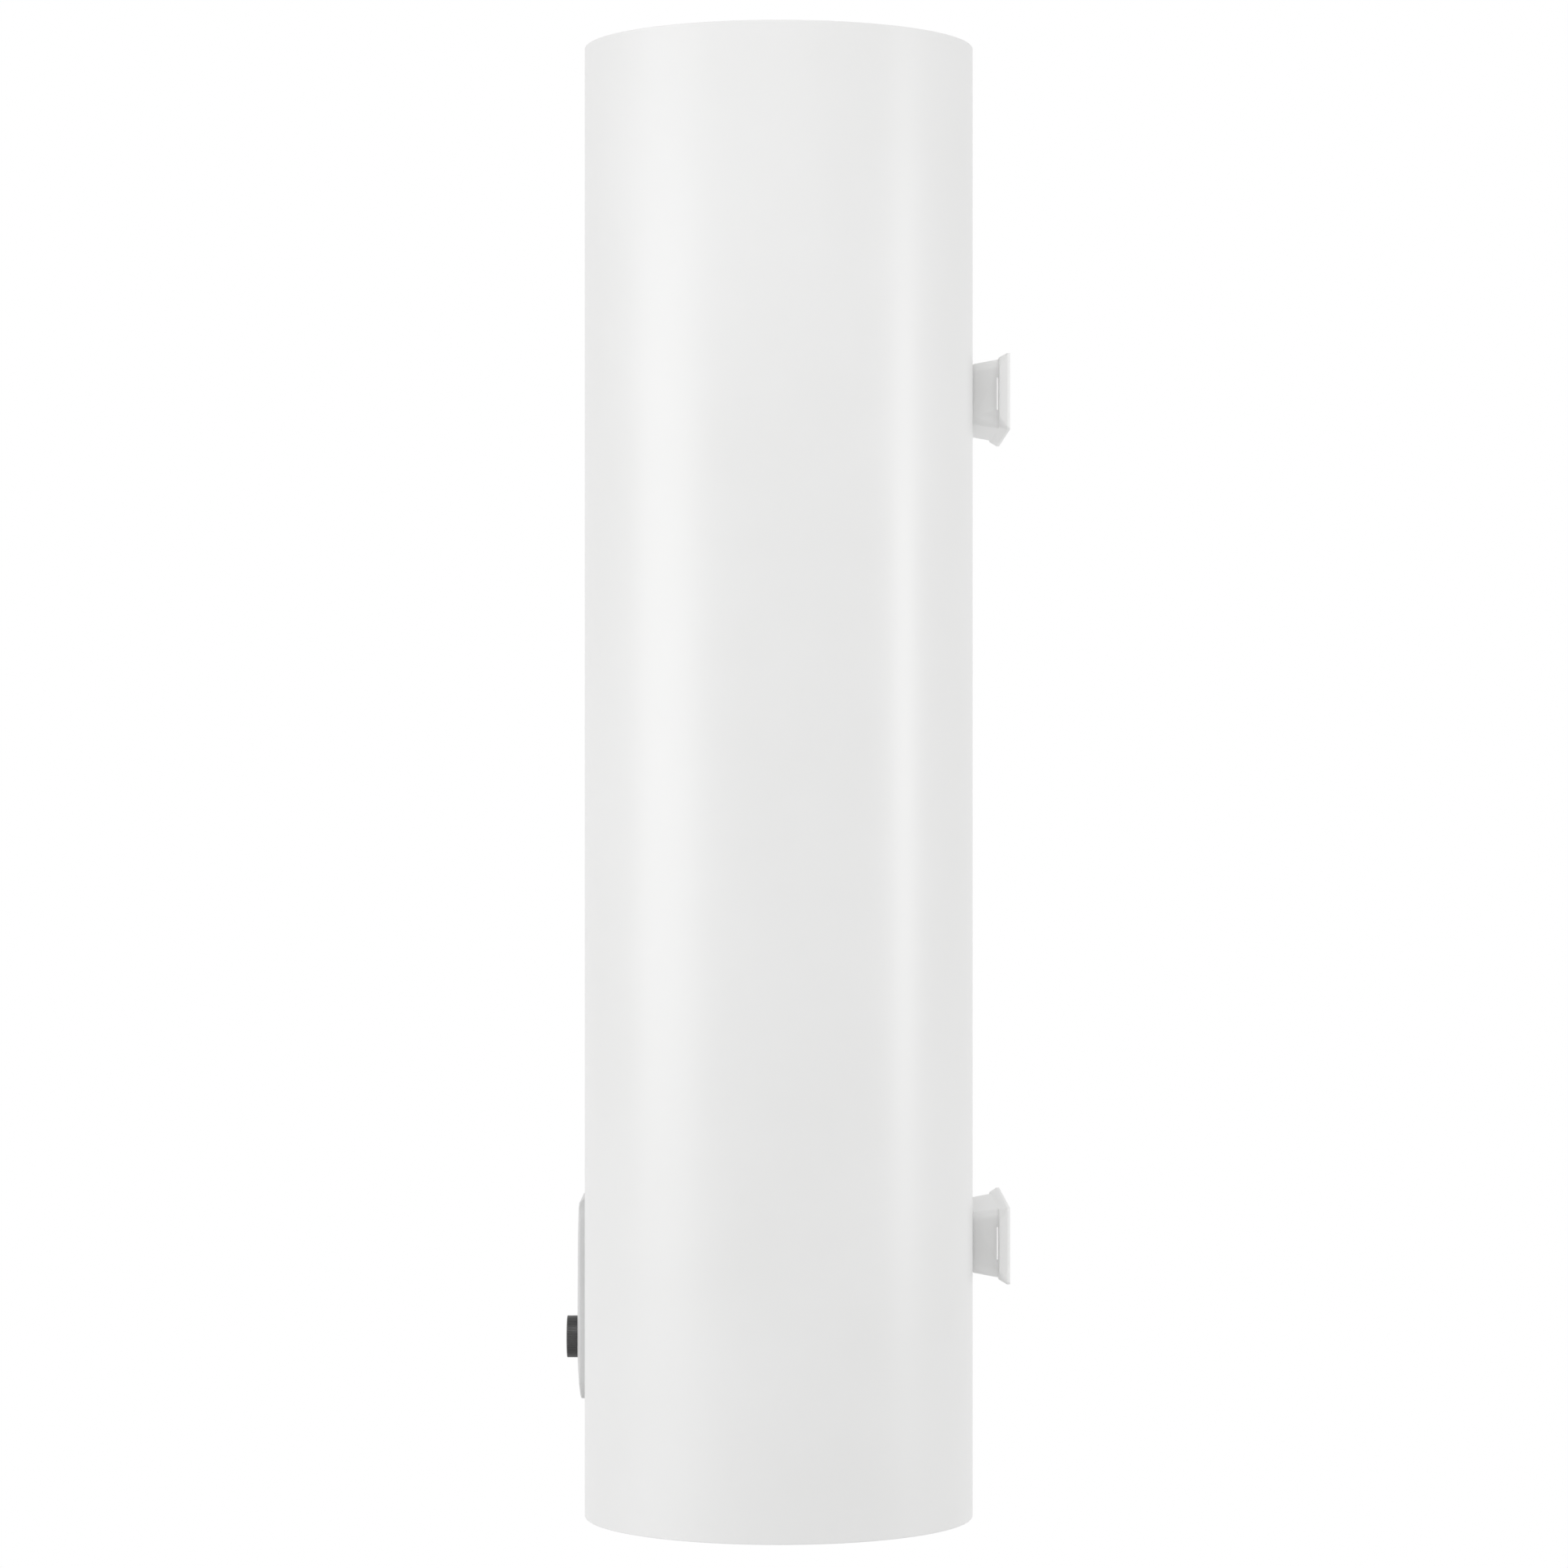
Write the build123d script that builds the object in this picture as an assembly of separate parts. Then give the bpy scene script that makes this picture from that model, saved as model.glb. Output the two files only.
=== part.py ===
from build123d import *
import math
import os

# A flat, wall-hung storage water heater: two slim tanks side by side in one oval steel casing.
# Everything is built in the casing's own frame and moved to the wall frame on export.
# Casing frame: X to the right as seen from the front, Y towards the wall, Z up,
# with X and Y zero on the casing's axis and Z zero at its lower rim. Millimetres.

# Shared by many pieces: gaps between fitted pieces, and how far cuts run past a face
CLOSE_GAP = 0.05
LOOSE_GAP = 0.2
OVERCUT = 1.0
SHEET_CUT = 5.0

# Casing
CASE_WIDTH = 500.0
CASE_DEPTH = 270.0
CASE_HEIGHT = 1020.0
CASE_SHEET = 0.8
RIM_ROUND = 0.7
COVER_SEAT_DEPTH = 4.0
COVER_SEAT_WIDTH = 14.0
SEAM_X = -106.0
SEAM_WIDTH = 9.0
SEAM_RISE = 0.9
SEAM_END = 2.0

# End covers
COVER_EDGE_GAP = 0.4
COVER_SHY = 0.6
COVER_FIELD_INSET = 26.0
COVER_FIELD_DEPTH = 1.2
COVER_EDGE_ROUND = 0.8
COVER_FIELD_ROUND = 0.5
COVER_RIB_GAP = 1.0
COVER_RIB_WIDTH = 2.0
COVER_RIB_HEIGHT = 5.0
COVER_SCREW_INSET = 8.0
COVER_SCREW_X = 100.0
COVER_SCREW_RADIUS = 1.95
COVER_SCREW_HEAD_RADIUS = 3.8
COVER_SCREW_LENGTH = 13.0
RECESS_LENGTH = 3.6
RECESS_WIDTH = 0.8
RECESS_DEPTH = 1.2

# Insulation and the plate that closes it from below
INSULATION_GAP = 0.3
INSULATION_TOP = 1009.5
CLOSING_PLATE_LOW = 60.0
CLOSING_PLATE_THICKNESS = 1.0

# Tanks
TANK_RADIUS = 113.0
TANK_AXIS_X = 115.0
TANK_WALL = 1.5
TANK_LOW = 74.0
TANK_HIGH = 990.0
DOME_RADIUS = 226.0
KNUCKLE_RADIUS = 22.6
LINK_HEIGHTS = {"lower": 170.0, "upper": 900.0}
LINK_RADIUS = 16.0
LINK_BORE = 13.0
LINK_HALF_LENGTH = 9.0

# Water connections, thread G 1/2
NIPPLE_X = 50.0
THREAD_RADIUS = 10.4775
THREAD_LOW = -20.0
THREAD_HIGH = -2.0
NIPPLE_RADIUS = 11.5
NIPPLE_BORE = 8.0
NIPPLE_HIGH = 92.0
NIPPLE_TIP_CHAMFER = 1.2
DIP_RADIUS = 7.6
DIP_BORE = 6.2
DIP_LOW = 20.0
DIP_LIP_RADIUS = 10.5
DIP_LIP_HEIGHT = 2.0
HOT_DIP_HIGH = 965.0
COLD_DIP_HIGH = 150.0
DIFFUSER_ROWS = (106.0, 120.0, 134.0)
DIFFUSER_HOLE = 2.5
DIFFUSER_END = 2.0
COLLAR_RADIUS = 21.0
COLLAR_FLANGE = 2.4
COLLAR_ROUND = 1.2
COLLAR_SPIGOT_RADIUS = 15.7
COLLAR_SPIGOT_HIGH = 7.0
COLLAR_BORE = 11.9
COLLAR_HOLE = 16.0

# Heater flanges
PORT_X = 140.0
PORT_BORE = 32.0
PORT_NECK_RADIUS = 36.0
PORT_NECK_REACH = 20.0
PORT_CUT_REACH = 30.0
FLANGE_RADIUS = 52.0
FLANGE_RING_LOW = 53.0
FLANGE_RING_HIGH = 58.0
GASKET_LOW = 50.0
GASKET_BORE = 33.0
FLANGE_PLATE_LOW = 46.0
FLANGE_BOLT_CIRCLE = 43.0
FLANGE_BOLT_COUNT = 6
FLANGE_BOLT_RADIUS = 3.0
FLANGE_BOLT_HEAD = 10.0
FLANGE_BOLT_HEAD_LOW = 42.0
FLANGE_BOLT_HIGH = 57.5

# Heating elements, anodes and thermowells, placed from the flange's centre
ELEMENT_RADIUS = 4.25
ELEMENT_OFFSET_X = 10.0
ELEMENT_HALF_PITCH = 16.0
ELEMENT_LOW = 32.0
ELEMENT_BEND_HEIGHT = 340.0
INSULATOR_RADIUS = 7.0
INSULATOR_LOW = 40.0
ANODE_OFFSET_X = -14.0
ANODE_RADIUS = 10.0
ANODE_LOW = 66.0
ANODE_HIGH = 290.0
ANODE_ROUND = 3.0
ANODE_STUD_RADIUS = 3.0
ANODE_STUD_LOW = 38.0
ANODE_NUT = 10.0
ANODE_NUT_LOW = 41.0
WELL_OFFSET_X = 24.0
WELL_RADIUS = 5.0
WELL_BORE = 4.0
WELL_LOW = 43.0
WELL_HIGH = 300.0
WELL_END = 1.5
PROBE_RADIUS = 3.6
PROBE_LOW = 41.0
PROBE_HIGH = 296.0

# Wall brackets: pressed pans, open to the wall, with an ear at each end and a flared rim
BRACKET_HEIGHTS = {"upper": 784.5, "lower": 184.5}
BRACKET_SHEET = 2.0
WALL_GAP = 27.3
CROWN_HALF = (63.5, 21.0)
CROWN_CORNER = 6.0
FLARE_HALF = (67.0, 24.6)
FLARE_CORNER = 7.0
FLARE_DEPTH = 20.0
EAR_HALF = (85.5, 24.6)
EAR_CORNER = 10.0
RIM_HALF = (88.0, 27.0)
RIM_CORNER = 3.0
CROWN_BEND = 5.0
HOOK_SLOT_X = 42.0
HOOK_SLOT_DEPTH = 13.0
HOOK_SLOT_LENGTH = 28.0
HOOK_SLOT_WIDTH = 9.0
HOOK_SLOT_REACH = 20.0
END_SLOT_DEPTHS = (18.8, 20.0)
END_SLOT_HEIGHT = 23.0
END_SLOT_REACH = 5.0
RAIL_HALF_WIDTH = 114.0
RAIL_HALF_HEIGHT = 32.0
RAIL_SHEET = 3.0
RAIL_TANK_GAP = 0.1
BOLT_PLACES_X = (-48.0, -16.0, 16.0, 48.0)
BOLT_RADIUS = 4.0
BOLT_HOLE = 4.4
BOLT_HEAD = 13.0
BOLT_HEAD_HEIGHT = 5.3
BOLT_END_PAST_NUT = 1.5
NUT_HEIGHT = 6.5
NUT_BORE = 4.05
SPACER_RADIUS = 9.0

# Cable gland in the bottom cover
GLAND_Y = 88.0
GLAND_BORE = 4.2
GLAND_THREAD_RADIUS = 8.0
GLAND_HOLE = 8.2
GLAND_HEX = 22.0
GLAND_HEX_LOW = -3.2
GLAND_DOME_LOW = -14.0
GLAND_DOME_RADIUS = 9.6
GLAND_MOUTH_RADIUS = 7.0
GLAND_HIGH = 11.0
GLAND_NUT_HIGH = 8.5

# Parts hung under the closing plate, each as ranges along X, Y and Z
TERMINAL_BLOCK = ((-25.0, 25.0), (62.0, 82.0), (44.0, 60.0))
TERMINAL_PITCH = 15.0
TERMINAL_HOLE = 2.8
TERMINAL_HOLE_DEPTH = 9.0
CUTOUT_BLOCK = ((-20.0, 20.0), (16.0, 44.0), (40.0, 60.0))
CUTOUT_Y = 30.0
CUTOUT_COLLAR_RADIUS = 6.0
CUTOUT_COLLAR_LOW = 37.0
BUTTON_BORE = 3.2
BUTTON_CHAMBER_RADIUS = 5.0
BUTTON_CHAMBER = (42.5, 50.0)
BUTTON_RADIUS = 2.9
BUTTON_LOW = 33.0
BUTTON_ROUND = 0.8
BUTTON_FLANGE_RADIUS = 4.6
BUTTON_FLANGE = (42.8, 44.3)
POWER_BOARD = ((-35.0, 35.0), (-108.0, -18.0), (50.0, 51.6))
BOARD_POST_RADIUS = 3.0
BOARD_POST_X = 30.0
BOARD_POST_Y = (-103.0, -23.0)
RELAY = ((14.0, 34.0), (-74.0, -44.0), (35.0, 50.0))
TRANSFORMER = ((-18.0, 18.0), (-40.0, -18.0), (32.0, 50.0))
PLUG_SOCKET = ((-8.0, 8.0), (-96.0, -84.0), (40.0, 50.0))
LEAD_RADIUS = 1.6
LEAD_END_GAP = 0.2
LEAD_BEND = 12.0
LEAD_PITCH = 8.0
ELEMENT_LEAD_TURNS = (72.0, 112.0)
SUPPLY_LEAD_X = 8.0
SUPPLY_LEAD_Z = 47.0
ELEMENT_LEAD_Z = 38.0

# Control panel on the casing's front
PANEL_LOW = 71.0
PANEL_WIDTH = 96.0
PANEL_HEIGHT = 142.4
PANEL_CORNER = 16.0
PANEL_BACK_GAP = 0.3
PANEL_WALL = 2.4
PANEL_EDGE_ROUND = 1.2
PANEL_SKIRT = 3.0
PANEL_CUT = 20.0
# Height above the panel's foot and stand-out from the casing, along the middle of the front
PANEL_CREST = ((0.0, 5.8), (12.0, 6.8), (30.0, 8.9), (70.0, 8.7), (110.0, 8.2), (128.0, 7.6), (140.0, 6.8))
PANEL_TOP_STAND = 4.2
PANEL_CROWN_MIDDLE = 9.4
PANEL_CROWN_EDGE = 6.6
HOUSING_HALF_WIDTH = 30.0
HOUSING_HALF_HEIGHT = 64.0
HOUSING_DEPTH = 27.0
HOUSING_WALL = 1.6
HOUSING_FLANGE_HALF = (42.0, 67.0)
HOUSING_FLANGE_CORNER = 10.0
PANEL_GASKET = 0.8
POCKET_GAP = 0.4
HOUSING_POST_RADIUS = 2.5
HOUSING_POST_PLACES = (22.0, 55.0)
HOUSING_SCREW_PLACES = (36.0, 58.0)
HOUSING_SCREW_RADIUS = 1.5
HOUSING_SCREW_HEAD_RADIUS = 2.9
HOUSING_SCREW_HEAD = 1.6
HOUSING_SCREW_END = -127.5
DISPLAY_BOARD_Y = (-123.0, -121.4)
DISPLAY_BOARD_HALF = (27.0, 60.5)
DISPLAY_Z = 183.0
DISPLAY_MODULE_HALF = (21.0, 11.0)
DISPLAY_MODULE_STAND = 4.0
WINDOW_OPENING = (44.0, 24.0)
WINDOW_REBATE = (48.0, 28.0)
WINDOW_REBATE_STAND = 6.5
WINDOW_STAND = 7.7
WINDOW_GAP = 0.3
WINDOW_ROUND = 0.3
WINDOW_REBATE_CORNER = 3.0
WINDOW_OPENING_CORNER = 2.0
INDICATOR_X = 9.0
INDICATOR_Z = 151.0
INDICATOR_RADIUS = 1.6
INDICATOR_HOLE = 1.75
INDICATOR_ROUND = 0.6
INDICATOR_STANDS = (4.5, 8.9)
PANEL_LEAD_Y = -117.0
PANEL_LEAD_RADIUS = 2.4
PANEL_LEAD_HOLE = 4.0
PANEL_LEAD_BEND = 8.0
PANEL_LEAD_RISE = 8.0

# Temperature knob
KNOB_Z = 111.5
KNOB_RADIUS = 15.0
KNOB_FACE_STAND = 17.0
KNOB_BACK_STAND = 7.7
KNOB_CHAMFER = 0.8
KNOB_HUB_RADIUS = 6.0
KNOB_SKIRT_BORE = 13.0
KNOB_HOLLOW_DEPTH = 4.5
KNOB_WELL_RADIUS = 15.8
KNOB_WELL_STAND = 7.3
KNOB_WELL_BOSS_RADIUS = 18.5
KNOB_WELL_BOSS_STAND = 5.2
KNOB_CAP_RADIUS = 12.2
KNOB_CAP_THICKNESS = 1.2
KNOB_CAP_ROUND = 0.4
SPINDLE_RADIUS = 3.0
SPINDLE_END_GAP = 0.4
SPINDLE_HOLE = 4.2
SPINDLE_FRONT_STAND = 14.4
SPINDLE_END_Y = -124.6
POT_HALF = 8.5
POT_BUSH_RADIUS = 4.5
POT_BUSH_STAND = 4.4
POT_BODY_FRONT_Y = -131.0

# Worked out from the driving dimensions
FRONT_Y = -CASE_DEPTH / 2
BACK_Y = CASE_DEPTH / 2
WALL_Y = BACK_Y + WALL_GAP
PANEL_MIDDLE_Z = PANEL_LOW + PANEL_HEIGHT / 2
COVER_FIELD_Z = COVER_SHY + COVER_FIELD_DEPTH
RAIL_FRONT_Y = TANK_RADIUS + RAIL_TANK_GAP
RAIL_BACK_Y = RAIL_FRONT_Y + RAIL_SHEET
HOUSING_FLANGE_Y = FRONT_Y - PANEL_GASKET
HOUSING_FACE_Y = HOUSING_FLANGE_Y - HOUSING_WALL
HOUSING_BACK_Y = FRONT_Y + HOUSING_DEPTH
SIDES = {"left": -1, "right": 1}

# The wall frame's origin is on the wall, in the middle of the upper bracket's upper rim
ORIGIN_HEIGHT = BRACKET_HEIGHTS["upper"] + RIM_HALF[1] - BRACKET_SHEET / 2
TO_WALL_FRAME = Pos(0, -WALL_Y, -ORIGIN_HEIGHT)

STANDING = (Align.CENTER, Align.CENTER, Align.MIN)


def upright(radius, low, high, x=0.0, y=0.0):
    """A vertical cylinder between two heights."""
    return Pos(x, y, low) * Cylinder(radius, high - low, align=STANDING)


def level(radius, near, far, x=0.0, z=0.0):
    """A cylinder along Y between two depths."""
    return Pos(x, near, z) * Rot(-90, 0, 0) * Cylinder(radius, far - near, align=STANDING)


def drill(radius, low, high, x=0.0, y=0.0):
    """A vertical hole that runs past both faces."""
    return upright(radius, low - OVERCUT, high + OVERCUT, x, y)


def bore(radius, near, far, x=0.0, z=0.0):
    """A hole along Y that runs past both faces."""
    return level(radius, near - OVERCUT, far + OVERCUT, x, z)


def crosswise(radius, half_length, z):
    """A cylinder along X through the casing's axis."""
    return Pos(0, 0, z) * Rot(0, 90, 0) * Cylinder(radius, 2 * half_length)


def block(x_range, y_range, z_range):
    """A box between two limits along each axis."""
    ranges = (x_range, y_range, z_range)
    middle = [(low + high) / 2 for low, high in ranges]
    size = [high - low for low, high in ranges]
    return Pos(*middle) * Box(*size)


def slab(outline, low, high):
    """A flat outline raised between two heights."""
    return Pos(0, 0, low) * extrude(outline, high - low)


def facing_slab(outline, near, far, x=0.0, z=0.0):
    """An outline drawn as seen from the front, thickened between two depths."""
    back_plane = Plane(origin=(x, far, z), x_dir=(1, 0, 0), z_dir=(0, -1, 0))
    return extrude(back_plane * outline, far - near)


def hexagon(across_flats):
    return RegularPolygon(across_flats / 2, 6, major_radius=False)


def group(pieces):
    """Separate solids that share one node."""
    return Compound([solid for piece in pieces for solid in piece.solids()])


def oval(inset=0.0):
    """The casing's oval outline, drawn in by a distance."""
    return SlotOverall(CASE_WIDTH - 2 * inset, CASE_DEPTH - 2 * inset)


def oval_ring(outer_inset, inner_inset, low, high):
    return slab(oval(outer_inset) - oval(inner_inset), low, high)


def stand(distance):
    """Depth of a plane that stands out from the casing's front."""
    return FRONT_Y - distance


def cover_screw_places():
    """Two screws on each straight side of the oval and one at each round end."""
    side_y = BACK_Y - COVER_SCREW_INSET
    end_x = CASE_WIDTH / 2 - COVER_SCREW_INSET
    places = [(x, y) for x in (-COVER_SCREW_X, COVER_SCREW_X) for y in (-side_y, side_y)]
    return places + [(-end_x, 0.0), (end_x, 0.0)]


def housing_screw_places():
    half_x, half_z = HOUSING_SCREW_PLACES
    return [(x, PANEL_MIDDLE_Z + z) for x in (-half_x, half_x) for z in (-half_z, half_z)]


def bracket_bolt_places():
    return [(x, z) for z in BRACKET_HEIGHTS.values() for x in BOLT_PLACES_X]


def flange_bolt_places():
    """Bolt places round one flange, from its centre."""
    step = 2 * math.pi / FLANGE_BOLT_COUNT
    angles = [step * index for index in range(FLANGE_BOLT_COUNT)]
    return [(FLANGE_BOLT_CIRCLE * math.cos(a), FLANGE_BOLT_CIRCLE * math.sin(a)) for a in angles]


# Casing, covers and insulation


def outer_casing():
    """Sheet sleeve with a hemmed rim and an inward cover seat at each end, and a seam behind."""
    sleeve = oval_ring(0, CASE_SHEET, 0, CASE_HEIGHT)
    lower_hem = oval_ring(CASE_SHEET, 2 * CASE_SHEET, 0, COVER_SEAT_DEPTH)
    lower_seat = oval_ring(CASE_SHEET, COVER_SEAT_WIDTH, COVER_SEAT_DEPTH, COVER_SEAT_DEPTH + CASE_SHEET)
    lower_end = lower_hem + lower_seat
    upper_end = Pos(0, 0, CASE_HEIGHT) * mirror(lower_end, about=Plane.XY)
    body = sleeve + lower_end + upper_end
    rims = body.edges().group_by(Axis.Z)
    body = fillet(rims[0] + rims[-1], RIM_ROUND)
    seam_x = (SEAM_X - SEAM_WIDTH / 2, SEAM_X + SEAM_WIDTH / 2)
    body += block(seam_x, (BACK_Y - CASE_SHEET, BACK_Y + SEAM_RISE), (SEAM_END, CASE_HEIGHT - SEAM_END))
    pocket = Rectangle(2 * (HOUSING_HALF_WIDTH + POCKET_GAP), 2 * (HOUSING_HALF_HEIGHT + POCKET_GAP))
    body -= facing_slab(pocket, FRONT_Y - OVERCUT, FRONT_Y + SHEET_CUT, 0, PANEL_MIDDLE_Z)
    for x, z in housing_screw_places():
        body -= level(HOUSING_SCREW_RADIUS + LOOSE_GAP, FRONT_Y - OVERCUT, FRONT_Y + SHEET_CUT, x, z)
    for x, z in bracket_bolt_places():
        body -= level(BOLT_HOLE, BACK_Y - SHEET_CUT, BACK_Y + OVERCUT, x, z)
    for x, y in cover_screw_places():
        body -= drill(COVER_SCREW_RADIUS + LOOSE_GAP, COVER_SEAT_DEPTH, COVER_SEAT_DEPTH + CASE_SHEET, x, y)
    return body


def blank_cover():
    """A moulded end plate, lying as the bottom cover does: a sunk field outside, a locating rib inside."""
    plate = slab(oval(2 * CASE_SHEET + COVER_EDGE_GAP), COVER_SHY, COVER_SEAT_DEPTH)
    plate = fillet(plate.edges().group_by(Axis.Z)[0], COVER_EDGE_ROUND)
    plate -= slab(oval(COVER_FIELD_INSET), 0, COVER_FIELD_Z)
    plate = fillet(plate.edges().group_by(Axis.Z)[0], COVER_FIELD_ROUND)
    rib_outside = COVER_SEAT_WIDTH + COVER_RIB_GAP
    rib_high = COVER_SEAT_DEPTH + COVER_RIB_HEIGHT
    return plate + oval_ring(rib_outside, rib_outside + COVER_RIB_WIDTH, COVER_SEAT_DEPTH, rib_high)


def top_cover():
    return Pos(0, 0, CASE_HEIGHT) * mirror(blank_cover(), about=Plane.XY)


def countersink(x, y, spread=0.0):
    """The cone of a sunk screw head, with its wide end on the bottom cover's outer face."""
    wide = COVER_SCREW_HEAD_RADIUS + spread
    narrow = COVER_SCREW_RADIUS + spread
    return Pos(x, y, COVER_SHY) * Cone(wide, narrow, wide - narrow, align=STANDING)


def bottom_cover():
    cover = blank_cover()
    for side in SIDES.values():
        cover -= upright(COLLAR_HOLE, 0, COVER_SEAT_DEPTH + OVERCUT, side * NIPPLE_X)
    cover -= upright(GLAND_HOLE, 0, COVER_SEAT_DEPTH + OVERCUT, 0, GLAND_Y)
    for x, y in cover_screw_places():
        cover -= countersink(x, y, LOOSE_GAP)
        cover -= upright(COVER_SCREW_RADIUS + LOOSE_GAP, 0, COVER_SEAT_DEPTH + OVERCUT, x, y)
    return cover


def cover_screws():
    """Countersunk screws with cross recesses."""
    slot = Box(RECESS_LENGTH, RECESS_WIDTH, 2 * RECESS_DEPTH)
    recess = slot + Rot(0, 0, 90) * slot
    screws = []
    for x, y in cover_screw_places():
        shank = upright(COVER_SCREW_RADIUS, COVER_SHY, COVER_SHY + COVER_SCREW_LENGTH, x, y)
        screws.append(countersink(x, y) + shank - Pos(x, y, COVER_SHY) * recess)
    return group(screws)


def closing_plate():
    """Sheet that closes the insulation from below and carries the electrical parts."""
    high = CLOSING_PLATE_LOW + CLOSING_PLATE_THICKNESS
    plate = slab(oval(CASE_SHEET + INSULATION_GAP), CLOSING_PLATE_LOW, high)
    for side in SIDES.values():
        plate -= drill(PORT_NECK_RADIUS + OVERCUT, CLOSING_PLATE_LOW, high, side * PORT_X)
        plate -= drill(NIPPLE_RADIUS + OVERCUT, CLOSING_PLATE_LOW, high, side * NIPPLE_X)
    return plate - drill(PANEL_LEAD_HOLE, CLOSING_PLATE_LOW, high, 0, PANEL_LEAD_Y)


def insulation_foam():
    """Foam that fills the space between the casing and the tanks."""
    low = CLOSING_PLATE_LOW + CLOSING_PLATE_THICKNESS
    tank_cut = TANK_LOW + PORT_CUT_REACH
    foam = slab(oval(CASE_SHEET + INSULATION_GAP), low, INSULATION_TOP)
    for side in SIDES.values():
        foam -= Pos(side * TANK_AXIS_X, 0, 0) * tank_form(-INSULATION_GAP)
        foam -= drill(PORT_NECK_RADIUS + INSULATION_GAP, low, tank_cut, side * PORT_X)
        foam -= drill(NIPPLE_RADIUS + INSULATION_GAP, low, tank_cut, side * NIPPLE_X)
    for height in LINK_HEIGHTS.values():
        foam -= crosswise(LINK_RADIUS + INSULATION_GAP, LINK_HALF_LENGTH + OVERCUT, height)
    for height in BRACKET_HEIGHTS.values():
        foam -= rail_blank(height, INSULATION_GAP)
    nut_front = RAIL_FRONT_Y - NUT_HEIGHT - BOLT_END_PAST_NUT
    for x, z in bracket_bolt_places():
        foam -= level(SPACER_RADIUS + INSULATION_GAP, RAIL_FRONT_Y, BACK_Y, x, z)
        foam -= level(SPACER_RADIUS, nut_front - OVERCUT, RAIL_BACK_Y, x, z)
    pocket_x = HOUSING_HALF_WIDTH + POCKET_GAP
    pocket_z = HOUSING_HALF_HEIGHT + POCKET_GAP
    pocket_heights = (PANEL_MIDDLE_Z - pocket_z, PANEL_MIDDLE_Z + pocket_z)
    foam -= block((-pocket_x, pocket_x), (FRONT_Y, HOUSING_BACK_Y + POCKET_GAP), pocket_heights)
    for x, z in housing_screw_places():
        foam -= level(HOUSING_SCREW_RADIUS + LOOSE_GAP, FRONT_Y, HOUSING_SCREW_END + OVERCUT, x, z)
    return foam - drill(PANEL_LEAD_HOLE, low, PANEL_MIDDLE_Z - HOUSING_HALF_HEIGHT, 0, PANEL_LEAD_Y)


# Tanks and water connections


def tank_form(inset):
    """A solid of the tank's outer shape, with dished ends, drawn in by a distance."""
    radius = TANK_RADIUS - inset
    dome = DOME_RADIUS - inset
    knuckle = KNUCKLE_RADIUS - inset
    low = TANK_LOW + inset
    high = TANK_HIGH - inset
    turn = math.asin((radius - knuckle) / (dome - knuckle))
    bend = (turn + math.pi / 2) / 2
    rise = dome - (dome - knuckle) * math.cos(turn)
    dome_middle = (dome * math.sin(turn / 2), dome - dome * math.cos(turn / 2))
    dome_edge = (dome * math.sin(turn), dome - dome * math.cos(turn))
    knuckle_middle = (radius - knuckle + knuckle * math.sin(bend), rise - knuckle * math.cos(bend))
    end_points = [(0, 0), dome_middle, dome_edge, knuckle_middle, (radius, rise)]
    lower = [(x, low + z) for x, z in end_points]
    upper = [(x, high - z) for x, z in end_points]
    edges = [
        ThreePointArc(*lower[0:3]),
        ThreePointArc(*lower[2:5]),
        Line(lower[4], upper[4]),
        ThreePointArc(*upper[2:5]),
        ThreePointArc(*upper[0:3]),
        Line(upper[0], lower[0]),
    ]
    return revolve(Plane.XZ * make_face(edges), axis=Axis.Z)


def tank(side):
    """A welded vessel with a flanged heater port, a nipple hole and two link holes."""
    port_x = side * PORT_X
    vessel = Pos(side * TANK_AXIS_X, 0, 0) * tank_form(0)
    vessel += upright(PORT_NECK_RADIUS, FLANGE_RING_LOW, TANK_LOW + PORT_NECK_REACH, port_x)
    vessel += upright(FLANGE_RADIUS, FLANGE_RING_LOW, FLANGE_RING_HIGH, port_x)
    vessel -= Pos(side * TANK_AXIS_X, 0, 0) * tank_form(TANK_WALL)
    vessel -= upright(PORT_BORE, FLANGE_RING_LOW - OVERCUT, TANK_LOW + PORT_CUT_REACH, port_x)
    vessel -= upright(NIPPLE_RADIUS + CLOSE_GAP, FLANGE_RING_LOW, TANK_LOW + PORT_CUT_REACH, side * NIPPLE_X)
    for height in LINK_HEIGHTS.values():
        vessel -= crosswise(LINK_RADIUS + CLOSE_GAP, LINK_HALF_LENGTH + OVERCUT, height)
    for x, y in flange_bolt_places():
        vessel -= drill(FLANGE_BOLT_RADIUS + CLOSE_GAP, FLANGE_RING_LOW, FLANGE_RING_HIGH, port_x + x, y)
    return vessel


def link_pipe(height):
    pipe = crosswise(LINK_RADIUS, LINK_HALF_LENGTH, height)
    return pipe - crosswise(LINK_BORE, LINK_HALF_LENGTH + OVERCUT, height)


def nipple(side):
    """Welded stub with a male pipe thread, drawn plain at the thread's outer diameter."""
    x = side * NIPPLE_X
    thread = upright(THREAD_RADIUS, THREAD_LOW, THREAD_HIGH, x)
    thread = chamfer(thread.edges().group_by(Axis.Z)[0], NIPPLE_TIP_CHAMFER)
    stub = thread + upright(NIPPLE_RADIUS, THREAD_HIGH, NIPPLE_HIGH, x)
    return stub - drill(NIPPLE_BORE, THREAD_LOW, NIPPLE_HIGH, x)


def dip_tube(side, high):
    """Plastic tube held in a nipple by a lip that rests on its upper end."""
    x = side * NIPPLE_X
    tube = upright(DIP_RADIUS, DIP_LOW, high, x)
    tube += upright(DIP_LIP_RADIUS, NIPPLE_HIGH, NIPPLE_HIGH + DIP_LIP_HEIGHT, x)
    return tube - drill(DIP_BORE, DIP_LOW, high, x)


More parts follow.
